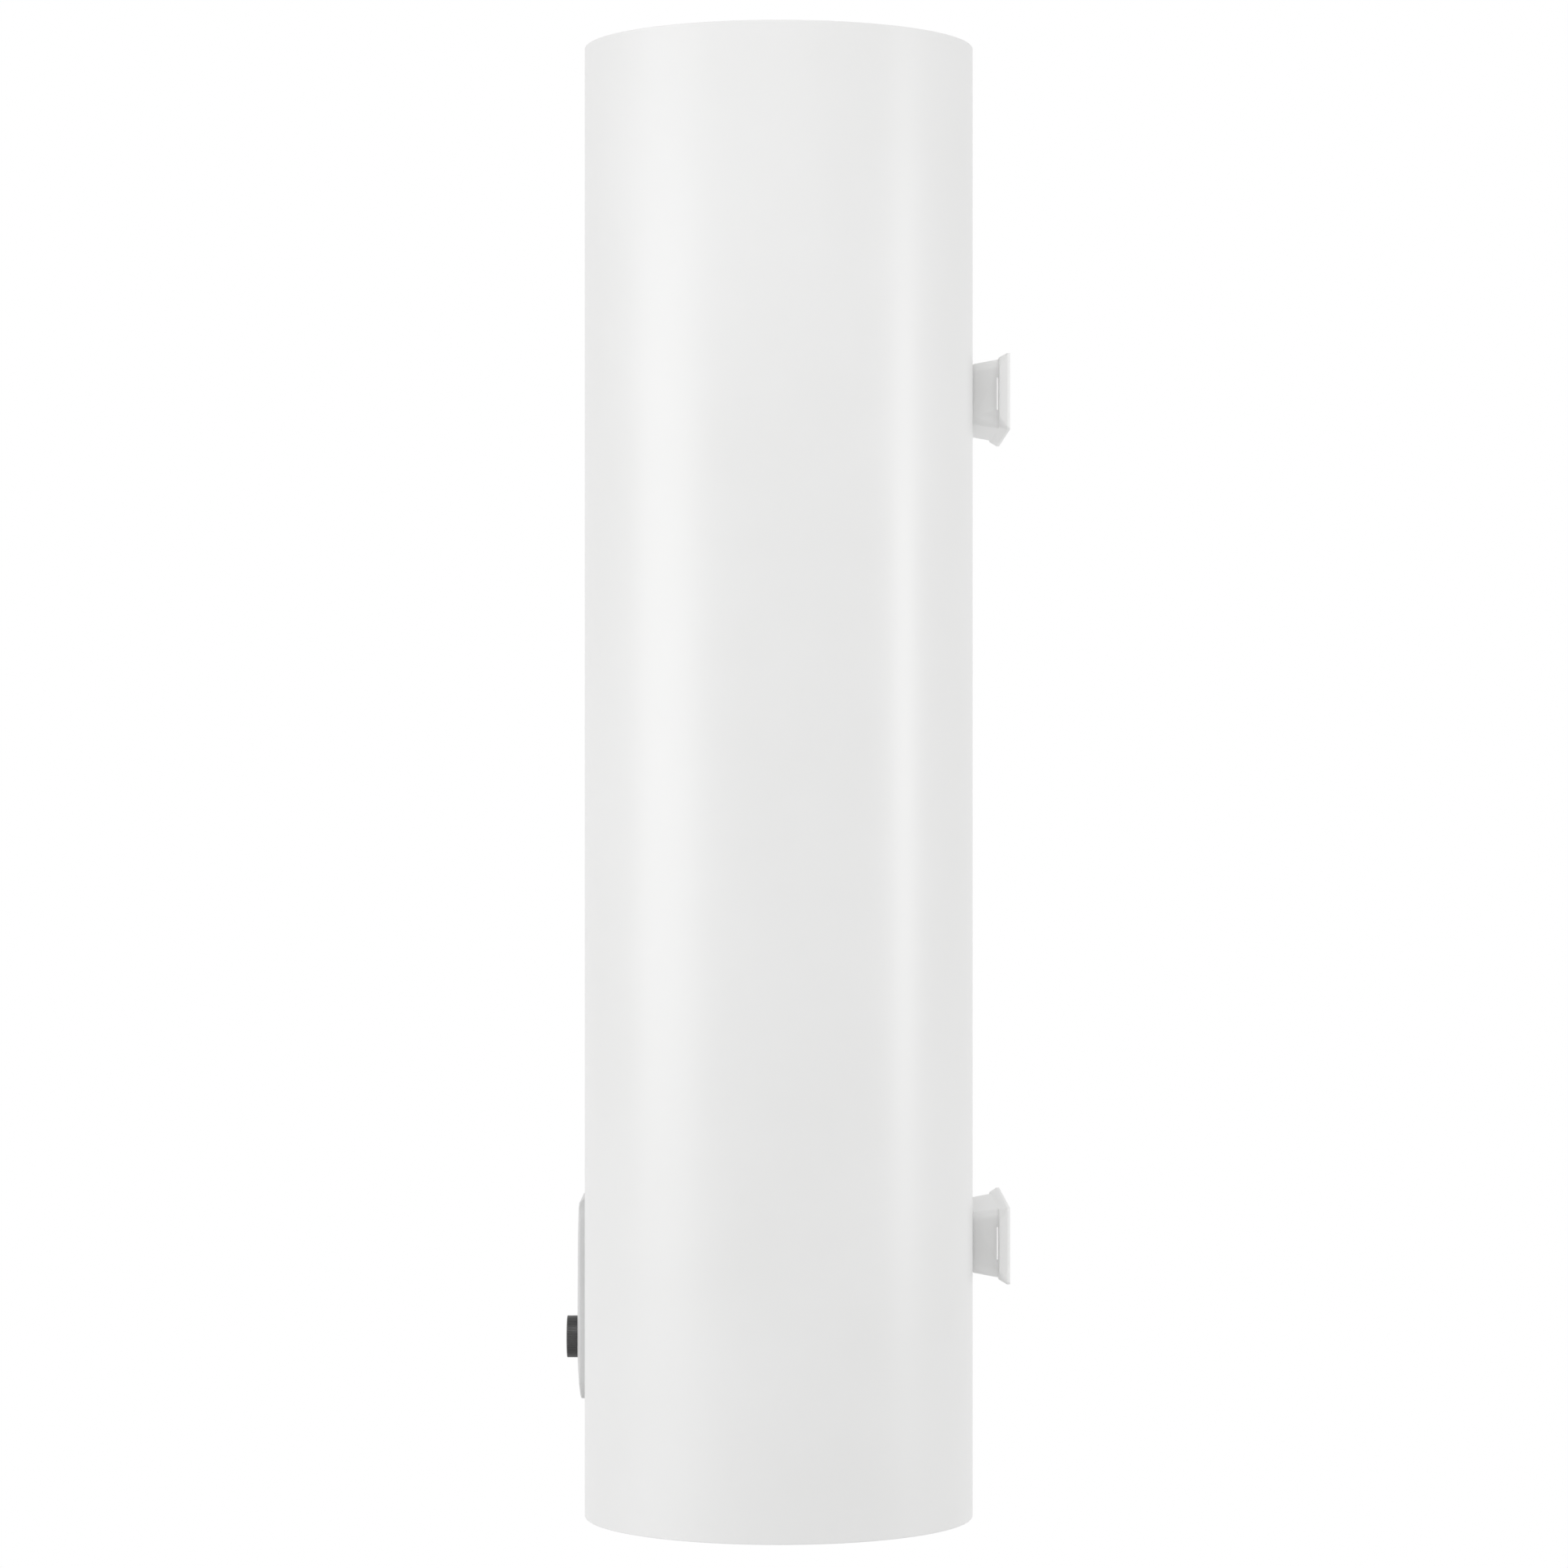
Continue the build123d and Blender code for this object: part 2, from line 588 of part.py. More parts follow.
def cold_diffuser():
    """Short dip tube with a closed end and side holes that spread the cold water."""
    x = NIPPLE_X
    tube = dip_tube(SIDES["right"], COLD_DIP_HIGH)
    tube += upright(DIP_RADIUS, COLD_DIP_HIGH - DIFFUSER_END, COLD_DIP_HIGH, x)
    for height in DIFFUSER_ROWS:
        tube -= bore(DIFFUSER_HOLE, -DIP_RADIUS, DIP_RADIUS, x, height)
        tube -= Pos(x, 0, 0) * crosswise(DIFFUSER_HOLE, DIP_RADIUS + OVERCUT, height)
    return tube


def collar(side):
    """Coloured collar that lines a nipple's hole in the bottom cover."""
    x = side * NIPPLE_X
    flange = upright(COLLAR_RADIUS, COVER_FIELD_Z - COLLAR_FLANGE, COVER_FIELD_Z, x)
    flange = fillet(flange.edges().group_by(Axis.Z)[0], COLLAR_ROUND)
    spigot = upright(COLLAR_SPIGOT_RADIUS, COVER_FIELD_Z, COLLAR_SPIGOT_HIGH, x)
    return flange + spigot - upright(COLLAR_BORE, COVER_FIELD_Z - SHEET_CUT, COLLAR_SPIGOT_HIGH + OVERCUT, x)


# Heater flanges and what they carry


def flange_place(side, offset_x):
    """X of something on a heater flange, measured outwards from the flange's centre."""
    return side * (PORT_X + offset_x)


def heater_flange(side):
    plate = upright(FLANGE_RADIUS, FLANGE_PLATE_LOW, GASKET_LOW, side * PORT_X)
    cuts = [
        (ANODE_STUD_RADIUS + LOOSE_GAP, ANODE_OFFSET_X, 0.0),
        (WELL_RADIUS + CLOSE_GAP, WELL_OFFSET_X, 0.0),
        (ELEMENT_RADIUS + CLOSE_GAP, ELEMENT_OFFSET_X, -ELEMENT_HALF_PITCH),
        (ELEMENT_RADIUS + CLOSE_GAP, ELEMENT_OFFSET_X, ELEMENT_HALF_PITCH),
    ]
    for radius, offset_x, y in cuts:
        plate -= drill(radius, FLANGE_PLATE_LOW, GASKET_LOW, flange_place(side, offset_x), y)
    for x, y in flange_bolt_places():
        plate -= drill(FLANGE_BOLT_RADIUS + LOOSE_GAP, FLANGE_PLATE_LOW, GASKET_LOW, side * PORT_X + x, y)
    return plate


def flange_gasket(side):
    ring = upright(FLANGE_RADIUS, GASKET_LOW, FLANGE_RING_LOW, side * PORT_X)
    ring -= drill(GASKET_BORE, GASKET_LOW, FLANGE_RING_LOW, side * PORT_X)
    for x, y in flange_bolt_places():
        ring -= drill(FLANGE_BOLT_RADIUS + LOOSE_GAP, GASKET_LOW, FLANGE_RING_LOW, side * PORT_X + x, y)
    return ring


def flange_bolts():
    bolts = []
    for side in SIDES.values():
        for x, y in flange_bolt_places():
            place = Pos(side * PORT_X + x, y, 0)
            head = slab(hexagon(FLANGE_BOLT_HEAD), FLANGE_BOLT_HEAD_LOW, FLANGE_PLATE_LOW)
            bolts.append(place * (head + upright(FLANGE_BOLT_RADIUS, FLANGE_PLATE_LOW, FLANGE_BOLT_HIGH)))
    return group(bolts)


def heating_element(side):
    """Tubular element bent into one long U."""
    x = flange_place(side, ELEMENT_OFFSET_X)
    half = ELEMENT_HALF_PITCH
    start = (x, -half, ELEMENT_LOW)
    end = (x, half, ELEMENT_LOW)
    bend_start = (x, -half, ELEMENT_BEND_HEIGHT)
    bend_end = (x, half, ELEMENT_BEND_HEIGHT)
    bend_top = (x, 0, ELEMENT_BEND_HEIGHT + half)
    bend = ThreePointArc(bend_start, bend_top, bend_end)
    path = Wire([Line(start, bend_start), bend, Line(bend_end, end)])
    return sweep(Pos(*start) * Circle(ELEMENT_RADIUS), path=path)


def terminal_insulators():
    rings = []
    for side in SIDES.values():
        for y in (-ELEMENT_HALF_PITCH, ELEMENT_HALF_PITCH):
            x = flange_place(side, ELEMENT_OFFSET_X)
            ring = upright(INSULATOR_RADIUS, INSULATOR_LOW, FLANGE_PLATE_LOW, x, y)
            rings.append(ring - drill(ELEMENT_RADIUS + LOOSE_GAP, INSULATOR_LOW, FLANGE_PLATE_LOW, x, y))
    return group(rings)


def anode(side):
    """Magnesium rod on a threaded stud."""
    x = flange_place(side, ANODE_OFFSET_X)
    rod = upright(ANODE_RADIUS, ANODE_LOW, ANODE_HIGH, x)
    rod = fillet(rod.edges().group_by(Axis.Z)[-1], ANODE_ROUND)
    return rod + upright(ANODE_STUD_RADIUS, ANODE_STUD_LOW, ANODE_LOW, x)


def anode_nuts():
    nuts = []
    for side in SIDES.values():
        nut = slab(hexagon(ANODE_NUT), ANODE_NUT_LOW, FLANGE_PLATE_LOW)
        nut -= drill(ANODE_STUD_RADIUS + CLOSE_GAP, ANODE_NUT_LOW, FLANGE_PLATE_LOW)
        nuts.append(Pos(flange_place(side, ANODE_OFFSET_X), 0, 0) * nut)
    return group(nuts)


def thermowell(side):
    """Thin tube, closed at the top, that keeps a probe dry."""
    x = flange_place(side, WELL_OFFSET_X)
    tube = upright(WELL_RADIUS, WELL_LOW, WELL_HIGH, x)
    return tube - upright(WELL_BORE, WELL_LOW - OVERCUT, WELL_HIGH - WELL_END, x)


def temperature_probes():
    places = [flange_place(side, WELL_OFFSET_X) for side in SIDES.values()]
    return group([upright(PROBE_RADIUS, PROBE_LOW, PROBE_HIGH, x) for x in places])


# Wall brackets


def bracket_section(half, corner, depth):
    """A rounded rectangle across the bracket at a depth behind the casing's back."""
    plane = Plane(origin=(0, BACK_Y + depth, 0), x_dir=(1, 0, 0), z_dir=(0, 1, 0))
    return plane * RectangleRounded(2 * half[0], 2 * half[1], corner)


def drawn_in(half, distance):
    return (half[0] - distance, half[1] - distance)


def wall_bracket(turn):
    """Pressed pan with hook slots in one long wall; turned half round for the lower place."""
    lip_depth = WALL_GAP - BRACKET_SHEET
    crown = bracket_section(CROWN_HALF, CROWN_CORNER, 0)
    bend = bracket_section(FLARE_HALF, FLARE_CORNER, FLARE_DEPTH)
    ears = bracket_section(EAR_HALF, EAR_CORNER, FLARE_DEPTH)
    rim = bracket_section(RIM_HALF, RIM_CORNER, lip_depth)
    walls = loft([crown, bend], ruled=True)
    walls = fillet(walls.faces().sort_by(Axis.Y)[0].edges(), CROWN_BEND)
    pan = walls + loft([ears, rim], ruled=True) + extrude(rim, BRACKET_SHEET, dir=(0, 1, 0))

    sheet = BRACKET_SHEET
    inner_crown = bracket_section(drawn_in(CROWN_HALF, sheet), CROWN_CORNER - sheet, sheet)
    inner_bend = bracket_section(drawn_in(FLARE_HALF, sheet), FLARE_CORNER - sheet, FLARE_DEPTH + sheet)
    inner_ears = bracket_section(drawn_in(EAR_HALF, sheet), EAR_CORNER - sheet, FLARE_DEPTH + sheet)
    inner_rim = bracket_section(drawn_in(RIM_HALF, sheet), RIM_CORNER - sheet, WALL_GAP)
    hollow = loft([inner_crown, inner_bend], ruled=True)
    hollow = fillet(hollow.faces().sort_by(Axis.Y)[0].edges(), CROWN_BEND - sheet)
    pan -= hollow + loft([inner_ears, inner_rim], ruled=True)

    for x in (-HOOK_SLOT_X, HOOK_SLOT_X):
        slot = extrude(SlotOverall(HOOK_SLOT_LENGTH, HOOK_SLOT_WIDTH), HOOK_SLOT_REACH)
        pan -= Pos(x, BACK_Y + HOOK_SLOT_DEPTH, FLARE_HALF[1] - HOOK_SLOT_REACH / 2) * slot
    slot_depths = tuple(BACK_Y + depth for depth in END_SLOT_DEPTHS)
    half_slot = END_SLOT_HEIGHT / 2
    for side in SIDES.values():
        slot_x = sorted((side * (FLARE_HALF[0] - END_SLOT_REACH), side * RIM_HALF[0]))
        pan -= block(slot_x, slot_depths, (-half_slot, half_slot))
    for x in BOLT_PLACES_X:
        pan -= level(BOLT_HOLE, BACK_Y - OVERCUT, BACK_Y + SHEET_CUT, x)
    return Rot(0, turn, 0) * pan


def rail_blank(height, spread=0.0):
    half_x = RAIL_HALF_WIDTH + spread
    half_z = RAIL_HALF_HEIGHT + spread
    depths = (RAIL_FRONT_Y - spread, RAIL_BACK_Y + spread)
    return block((-half_x, half_x), depths, (height - half_z, height + half_z))


def tank_rail(height):
    """Strip welded across the backs of both tanks, which carries a wall bracket."""
    rail = rail_blank(height)
    for x in BOLT_PLACES_X:
        rail -= bore(BOLT_HOLE, RAIL_FRONT_Y, RAIL_BACK_Y, x, height)
    return rail


def rail_spacers():
    spacers = []
    for x, z in bracket_bolt_places():
        spacer = level(SPACER_RADIUS, RAIL_BACK_Y, BACK_Y - CASE_SHEET, x, z)
        spacers.append(spacer - level(BOLT_HOLE, RAIL_BACK_Y - OVERCUT, BACK_Y, x, z))
    return group(spacers)


def bracket_bolts():
    head_front = BACK_Y + BRACKET_SHEET
    end = RAIL_FRONT_Y - NUT_HEIGHT - BOLT_END_PAST_NUT
    bolts = []
    for x, z in bracket_bolt_places():
        head = facing_slab(hexagon(BOLT_HEAD), head_front, head_front + BOLT_HEAD_HEIGHT, x, z)
        bolts.append(head + level(BOLT_RADIUS, end, head_front, x, z))
    return group(bolts)


def bracket_nuts():
    nuts = []
    for x, z in bracket_bolt_places():
        nut = facing_slab(hexagon(BOLT_HEAD), RAIL_FRONT_Y - NUT_HEIGHT, RAIL_FRONT_Y, x, z)
        nuts.append(nut - bore(NUT_BORE, RAIL_FRONT_Y - NUT_HEIGHT, RAIL_FRONT_Y, x, z))
    return group(nuts)


# Cable gland and the electrical parts behind the bottom cover


def cable_gland():
    thread = upright(GLAND_THREAD_RADIUS, COVER_FIELD_Z, GLAND_HIGH)
    collar_hex = slab(hexagon(GLAND_HEX), GLAND_HEX_LOW, COVER_FIELD_Z)
    dome_height = GLAND_HEX_LOW - GLAND_DOME_LOW
    dome = Cone(GLAND_MOUTH_RADIUS, GLAND_DOME_RADIUS, dome_height, align=STANDING)
    gland = thread + collar_hex + Pos(0, 0, GLAND_DOME_LOW) * dome
    return Pos(0, GLAND_Y, 0) * (gland - drill(GLAND_BORE, GLAND_DOME_LOW, GLAND_HIGH))


def gland_locknut():
    nut = slab(hexagon(GLAND_HEX), COVER_SEAT_DEPTH, GLAND_NUT_HIGH)
    nut -= drill(GLAND_THREAD_RADIUS + CLOSE_GAP, COVER_SEAT_DEPTH, GLAND_NUT_HIGH)
    return Pos(0, GLAND_Y, 0) * nut


def terminal_block():
    """Screw terminals for line, neutral and earth, open from below."""
    body = block(*TERMINAL_BLOCK)
    low = TERMINAL_BLOCK[2][0]
    y = sum(TERMINAL_BLOCK[1]) / 2
    for step in (-1, 0, 1):
        body -= upright(TERMINAL_HOLE, low - OVERCUT, low + TERMINAL_HOLE_DEPTH, step * TERMINAL_PITCH, y)
    return body


def safety_cutout():
    """Thermal cut-out with a chamber for its reset button, which points down."""
    body = block(*CUTOUT_BLOCK)
    body += upright(CUTOUT_COLLAR_RADIUS, CUTOUT_COLLAR_LOW, CUTOUT_BLOCK[2][0], 0, CUTOUT_Y)
    body -= drill(BUTTON_BORE, CUTOUT_COLLAR_LOW, BUTTON_CHAMBER[0], 0, CUTOUT_Y)
    return body - upright(BUTTON_CHAMBER_RADIUS, *BUTTON_CHAMBER, 0, CUTOUT_Y)


def reset_button():
    stem = upright(BUTTON_RADIUS, BUTTON_LOW, BUTTON_FLANGE[0], 0, CUTOUT_Y)
    stem = fillet(stem.edges().group_by(Axis.Z)[0], BUTTON_ROUND)
    return stem + upright(BUTTON_FLANGE_RADIUS, *BUTTON_FLANGE, 0, CUTOUT_Y)


def power_board():
    return block(*POWER_BOARD)


def board_posts():
    high = CLOSING_PLATE_LOW
    low = POWER_BOARD[2][1]
    places = [(x, y) for x in (-BOARD_POST_X, BOARD_POST_X) for y in BOARD_POST_Y]
    return group([upright(BOARD_POST_RADIUS, low, high, x, y) for x, y in places])


def board_components():
    """Two relays, a transformer and the panel lead's socket, on the board's lower side."""
    right_relay = block(*RELAY)
    left_relay = mirror(right_relay, about=Plane.YZ)
    return group([left_relay, right_relay, block(*TRANSFORMER), block(*PLUG_SOCKET)])


def straight_lead(near, far, x, z):
    return level(LEAD_RADIUS, near + LEAD_END_GAP, far - LEAD_END_GAP, x, z)


def element_lead(side, leg):
    """Insulated wire from a relay to one leg of a heating element."""
    relay_x = RELAY[0][1] + LEAD_END_GAP
    relay_y = sum(RELAY[1]) / 2 + LEAD_PITCH * leg
    element_x = PORT_X + ELEMENT_OFFSET_X - ELEMENT_RADIUS - LEAD_END_GAP
    element_y = leg * ELEMENT_HALF_PITCH
    first_x, second_x = ELEMENT_LEAD_TURNS
    route = [(relay_x, relay_y), (first_x, relay_y), (second_x, element_y), (element_x, element_y)]
    points = [(side * x, y, ELEMENT_LEAD_Z) for x, y in route]
    path = FilletPolyline(*points, radius=LEAD_BEND)
    start = Plane(origin=points[0], z_dir=(side, 0, 0))
    return sweep(start * Circle(LEAD_RADIUS), path=path)


def wiring_leads():
    """Supply wires through the cut-out to the board, and from the relays to the elements."""
    leads = []
    for x in (-SUPPLY_LEAD_X, SUPPLY_LEAD_X):
        leads.append(straight_lead(CUTOUT_BLOCK[1][1], TERMINAL_BLOCK[1][0], x, SUPPLY_LEAD_Z))
        leads.append(straight_lead(TRANSFORMER[1][1], CUTOUT_BLOCK[1][0], x, SUPPLY_LEAD_Z))
    for side in SIDES.values():
        for leg in (-1, 1):
            leads.append(element_lead(side, leg))
    return group(leads)


def panel_lead():
    """Lead from the display board down to its socket on the power board."""
    z = sum(PLUG_SOCKET[2]) / 2
    top = PANEL_MIDDLE_Z - HOUSING_HALF_HEIGHT + PANEL_LEAD_RISE
    points = [(0, PANEL_LEAD_Y, top), (0, PANEL_LEAD_Y, z), (0, PLUG_SOCKET[1][0] - LEAD_END_GAP, z)]
    path = FilletPolyline(*points, radius=PANEL_LEAD_BEND)
    return sweep(Pos(*points[0]) * Circle(PANEL_LEAD_RADIUS), path=path)


# Control panel


def housing_flange_outline():
    half_x, half_z = HOUSING_FLANGE_HALF
    return RectangleRounded(2 * half_x, 2 * half_z, HOUSING_FLANGE_CORNER)


def panel_housing():
    """Box sunk into the insulation, with a flange on the casing's front and posts for the display board."""
    half_x = HOUSING_HALF_WIDTH
    half_z = HOUSING_HALF_HEIGHT
    outer = Rectangle(2 * half_x, 2 * half_z)
    inner = Rectangle(2 * (half_x - HOUSING_WALL), 2 * (half_z - HOUSING_WALL))
    box = facing_slab(outer, HOUSING_FACE_Y, HOUSING_BACK_Y, 0, PANEL_MIDDLE_Z)
    box += facing_slab(housing_flange_outline(), HOUSING_FACE_Y, HOUSING_FLANGE_Y, 0, PANEL_MIDDLE_Z)
    box -= facing_slab(inner, HOUSING_FACE_Y - OVERCUT, HOUSING_BACK_Y - HOUSING_WALL, 0, PANEL_MIDDLE_Z)
    post_x, post_z = HOUSING_POST_PLACES
    for x in (-post_x, post_x):
        for z in (PANEL_MIDDLE_Z - post_z, PANEL_MIDDLE_Z + post_z):
            box += level(HOUSING_POST_RADIUS, DISPLAY_BOARD_Y[1], HOUSING_BACK_Y - HOUSING_WALL, x, z)
    for x, z in housing_screw_places():
        box -= level(HOUSING_SCREW_RADIUS + LOOSE_GAP, HOUSING_FACE_Y - OVERCUT, FRONT_Y, x, z)
    foot = PANEL_MIDDLE_Z - half_z
    return box - drill(PANEL_LEAD_RADIUS + LOOSE_GAP, foot, foot + HOUSING_WALL, 0, PANEL_LEAD_Y)


def panel_gasket():
    opening = Rectangle(2 * HOUSING_HALF_WIDTH, 2 * HOUSING_HALF_HEIGHT)
    ring = facing_slab(housing_flange_outline() - opening, HOUSING_FLANGE_Y, FRONT_Y, 0, PANEL_MIDDLE_Z)
    for x, z in housing_screw_places():
        ring -= bore(HOUSING_SCREW_RADIUS + LOOSE_GAP, HOUSING_FLANGE_Y, FRONT_Y, x, z)
    return ring


def housing_screws():
    screws = []
    for x, z in housing_screw_places():
        head = level(HOUSING_SCREW_HEAD_RADIUS, HOUSING_FACE_Y - HOUSING_SCREW_HEAD, HOUSING_FACE_Y, x, z)
        screws.append(head + level(HOUSING_SCREW_RADIUS, HOUSING_FACE_Y, HOUSING_SCREW_END, x, z))
    return group(screws)


def fascia_outline(inset):
    return RectangleRounded(PANEL_WIDTH - 2 * inset, PANEL_HEIGHT - 2 * inset, PANEL_CORNER - inset)


def fascia_form(inset):
    """The fascia's outer shape: a rounded tablet, bulged up and down and across, drawn in by a distance."""
    tablet = facing_slab(fascia_outline(inset), stand(PANEL_CUT), stand(PANEL_BACK_GAP), 0, PANEL_MIDDLE_Z)
    back = FRONT_Y
    crest = [(stand(out - inset), PANEL_LOW + height) for height, out in PANEL_CREST]
    head = (stand(PANEL_TOP_STAND - inset), PANEL_LOW + PANEL_HEIGHT)
    side_edges = [
        Spline(*crest),
        Line(crest[-1], head),
        Line(head, (back, head[1])),
        Line((back, head[1]), (back, crest[0][1])),
        Line((back, crest[0][1]), crest[0]),
    ]
    side_profile = extrude(Plane.YZ * make_face(side_edges), PANEL_WIDTH, both=True)
    half = PANEL_WIDTH / 2
    edge_y = stand(PANEL_CROWN_EDGE - inset)
    plan_edges = [
        ThreePointArc((-half, edge_y), (0, stand(PANEL_CROWN_MIDDLE - inset)), (half, edge_y)),
        Polyline((half, edge_y), (half, back), (-half, back), (-half, edge_y)),
    ]
    plan_profile = slab(make_face(plan_edges), 0, 2 * PANEL_MIDDLE_Z)
    return tablet & side_profile & plan_profile


def control_fascia():
    """Moulded front with a well for the knob, a window rebate and indicator holes."""
    form = fascia_form(0)
    front_edges = [edge for edge in form.edges() if edge.center().Y < stand(PANEL_SKIRT)]
    shell = fillet(front_edges, PANEL_EDGE_ROUND)
    open_back = facing_slab(fascia_outline(PANEL_WALL), stand(PANEL_SKIRT), FRONT_Y, 0, PANEL_MIDDLE_Z)
    shell -= fascia_form(PANEL_WALL) + open_back
    well_top = stand(KNOB_WELL_STAND + OVERCUT)
    shell += level(KNOB_WELL_BOSS_RADIUS, well_top, stand(KNOB_WELL_BOSS_STAND), 0, KNOB_Z)
    shell -= level(KNOB_WELL_RADIUS, stand(PANEL_CUT), stand(KNOB_WELL_STAND), 0, KNOB_Z)
    shell -= level(SPINDLE_HOLE, stand(PANEL_CUT), FRONT_Y, 0, KNOB_Z)
    rebate = RectangleRounded(*WINDOW_REBATE, WINDOW_REBATE_CORNER)
    opening = RectangleRounded(*WINDOW_OPENING, WINDOW_OPENING_CORNER)
    shell -= facing_slab(rebate, stand(PANEL_CUT), stand(WINDOW_REBATE_STAND), 0, DISPLAY_Z)
    shell -= facing_slab(opening, stand(PANEL_CUT), FRONT_Y, 0, DISPLAY_Z)
    for x in (-INDICATOR_X, INDICATOR_X):
        shell -= level(INDICATOR_HOLE, stand(PANEL_CUT), FRONT_Y, x, INDICATOR_Z)
    return shell


def display_window():
    size = [length - 2 * WINDOW_GAP for length in WINDOW_REBATE]
    outline = RectangleRounded(*size, WINDOW_REBATE_CORNER - WINDOW_GAP)
    pane = facing_slab(outline, stand(WINDOW_STAND), stand(WINDOW_REBATE_STAND), 0, DISPLAY_Z)
    return fillet(pane.faces().sort_by(Axis.Y)[0].edges(), WINDOW_ROUND)


def indicator_lenses():
    deep, proud = INDICATOR_STANDS
    lenses = []
    for x in (-INDICATOR_X, INDICATOR_X):
        lens = level(INDICATOR_RADIUS, stand(proud), stand(deep), x, INDICATOR_Z)
        lenses.append(fillet(lens.edges().group_by(Axis.Y)[0], INDICATOR_ROUND))
    return group(lenses)


def display_board():
    half_x, half_z = DISPLAY_BOARD_HALF
    heights = (PANEL_MIDDLE_Z - half_z, PANEL_MIDDLE_Z + half_z)
    return block((-half_x, half_x), DISPLAY_BOARD_Y, heights)


def display_module():
    half_x, half_z = DISPLAY_MODULE_HALF
    depths = (stand(DISPLAY_MODULE_STAND), DISPLAY_BOARD_Y[0])
    return block((-half_x, half_x), depths, (DISPLAY_Z - half_z, DISPLAY_Z + half_z))


def potentiometer():
    """Rotary setting device on the display board, with a bush round the knob's spindle."""
    heights = (KNOB_Z - POT_HALF, KNOB_Z + POT_HALF)
    body = block((-POT_HALF, POT_HALF), (POT_BODY_FRONT_Y, DISPLAY_BOARD_Y[0]), heights)
    body += level(POT_BUSH_RADIUS, stand(POT_BUSH_STAND), POT_BODY_FRONT_Y, 0, KNOB_Z)
    bore_end = SPINDLE_END_Y + SPINDLE_END_GAP
    return body - level(SPINDLE_RADIUS + CLOSE_GAP, stand(PANEL_CUT), bore_end, 0, KNOB_Z)


def knob_spindle():
    return level(SPINDLE_RADIUS, stand(SPINDLE_FRONT_STAND), SPINDLE_END_Y, 0, KNOB_Z)


def knob_grip():
    """Round grip, hollow behind, with a hub on the spindle and a recess for the face disc."""
    face = stand(KNOB_FACE_STAND)
    back = stand(KNOB_BACK_STAND)
    grip = level(KNOB_RADIUS, face, back, 0, KNOB_Z)
    grip = chamfer(grip.edges().group_by(Axis.Y)[0], KNOB_CHAMFER)
    hollow = level(KNOB_SKIRT_BORE, back - KNOB_HOLLOW_DEPTH, back + OVERCUT, 0, KNOB_Z)
    hub = level(KNOB_HUB_RADIUS, back - KNOB_HOLLOW_DEPTH - OVERCUT, back + SHEET_CUT, 0, KNOB_Z)
    grip -= hollow - hub
    grip -= level(KNOB_CAP_RADIUS + LOOSE_GAP, face - OVERCUT, face + KNOB_CAP_THICKNESS, 0, KNOB_Z)
    return grip - level(SPINDLE_RADIUS + CLOSE_GAP, stand(SPINDLE_FRONT_STAND), back + OVERCUT, 0, KNOB_Z)


def knob_cap():
    face = stand(KNOB_FACE_STAND)
    disc = level(KNOB_CAP_RADIUS, face, face + KNOB_CAP_THICKNESS, 0, KNOB_Z)
    return fillet(disc.edges().group_by(Axis.Y)[0], KNOB_CAP_ROUND)


def all_pieces():
    """Every node's name and shape."""
    pieces = {
        "outer_casing": outer_casing(),
        "top_cover": top_cover(),
        "bottom_cover": bottom_cover(),
        "cover_screws": cover_screws(),
        "closing_plate": closing_plate(),
        "insulation_foam": insulation_foam(),
        "cold_nipple": nipple(SIDES["right"]),
        "hot_nipple": nipple(SIDES["left"]),
        "cold_diffuser": cold_diffuser(),
        "hot_dip_tube": dip_tube(SIDES["left"], HOT_DIP_HIGH),
        "cold_collar": collar(SIDES["right"]),
        "hot_collar": collar(SIDES["left"]),
        "flange_bolts": flange_bolts(),
        "terminal_insulators": terminal_insulators(),
        "anode_nuts": anode_nuts(),
        "temperature_probes": temperature_probes(),
        "rail_spacers": rail_spacers(),
        "bracket_bolts": bracket_bolts(),
        "bracket_nuts": bracket_nuts(),
        "cable_gland": cable_gland(),
        "gland_locknut": gland_locknut(),
        "terminal_block": terminal_block(),
        "safety_cutout": safety_cutout(),
        "reset_button": reset_button(),
        "power_board": power_board(),
        "board_posts": board_posts(),
        "board_components": board_components(),
        "wiring_leads": wiring_leads(),
        "panel_lead": panel_lead(),
        "panel_housing": panel_housing(),
        "panel_gasket": panel_gasket(),
        "housing_screws": housing_screws(),
        "control_fascia": control_fascia(),
        "display_window": display_window(),
        "indicator_lenses": indicator_lenses(),
        "display_board": display_board(),
        "display_module": display_module(),
        "potentiometer": potentiometer(),
        "knob_spindle": knob_spindle(),
        "knob_grip": knob_grip(),
        "knob_cap": knob_cap(),
    }
    for name, side in SIDES.items():
        pieces[f"{name}_tank"] = tank(side)
        pieces[f"{name}_heater_flange"] = heater_flange(side)
        pieces[f"{name}_flange_gasket"] = flange_gasket(side)
        pieces[f"{name}_heating_element"] = heating_element(side)
        pieces[f"{name}_anode"] = anode(side)
        pieces[f"{name}_thermowell"] = thermowell(side)
    for name, turn in (("upper", 0), ("lower", 180)):
        height = BRACKET_HEIGHTS[name]
        pieces[f"{name}_bracket"] = Pos(0, 0, height) * wall_bracket(turn)
        pieces[f"{name}_tank_rail"] = tank_rail(height)
        pieces[f"{name}_link_pipe"] = link_pipe(LINK_HEIGHTS[name])
    return pieces


os.makedirs("parts", exist_ok=True)
for piece_name, piece in all_pieces().items():
    export_step(TO_WALL_FRAME * piece, f"parts/{piece_name}.step")
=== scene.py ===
import math

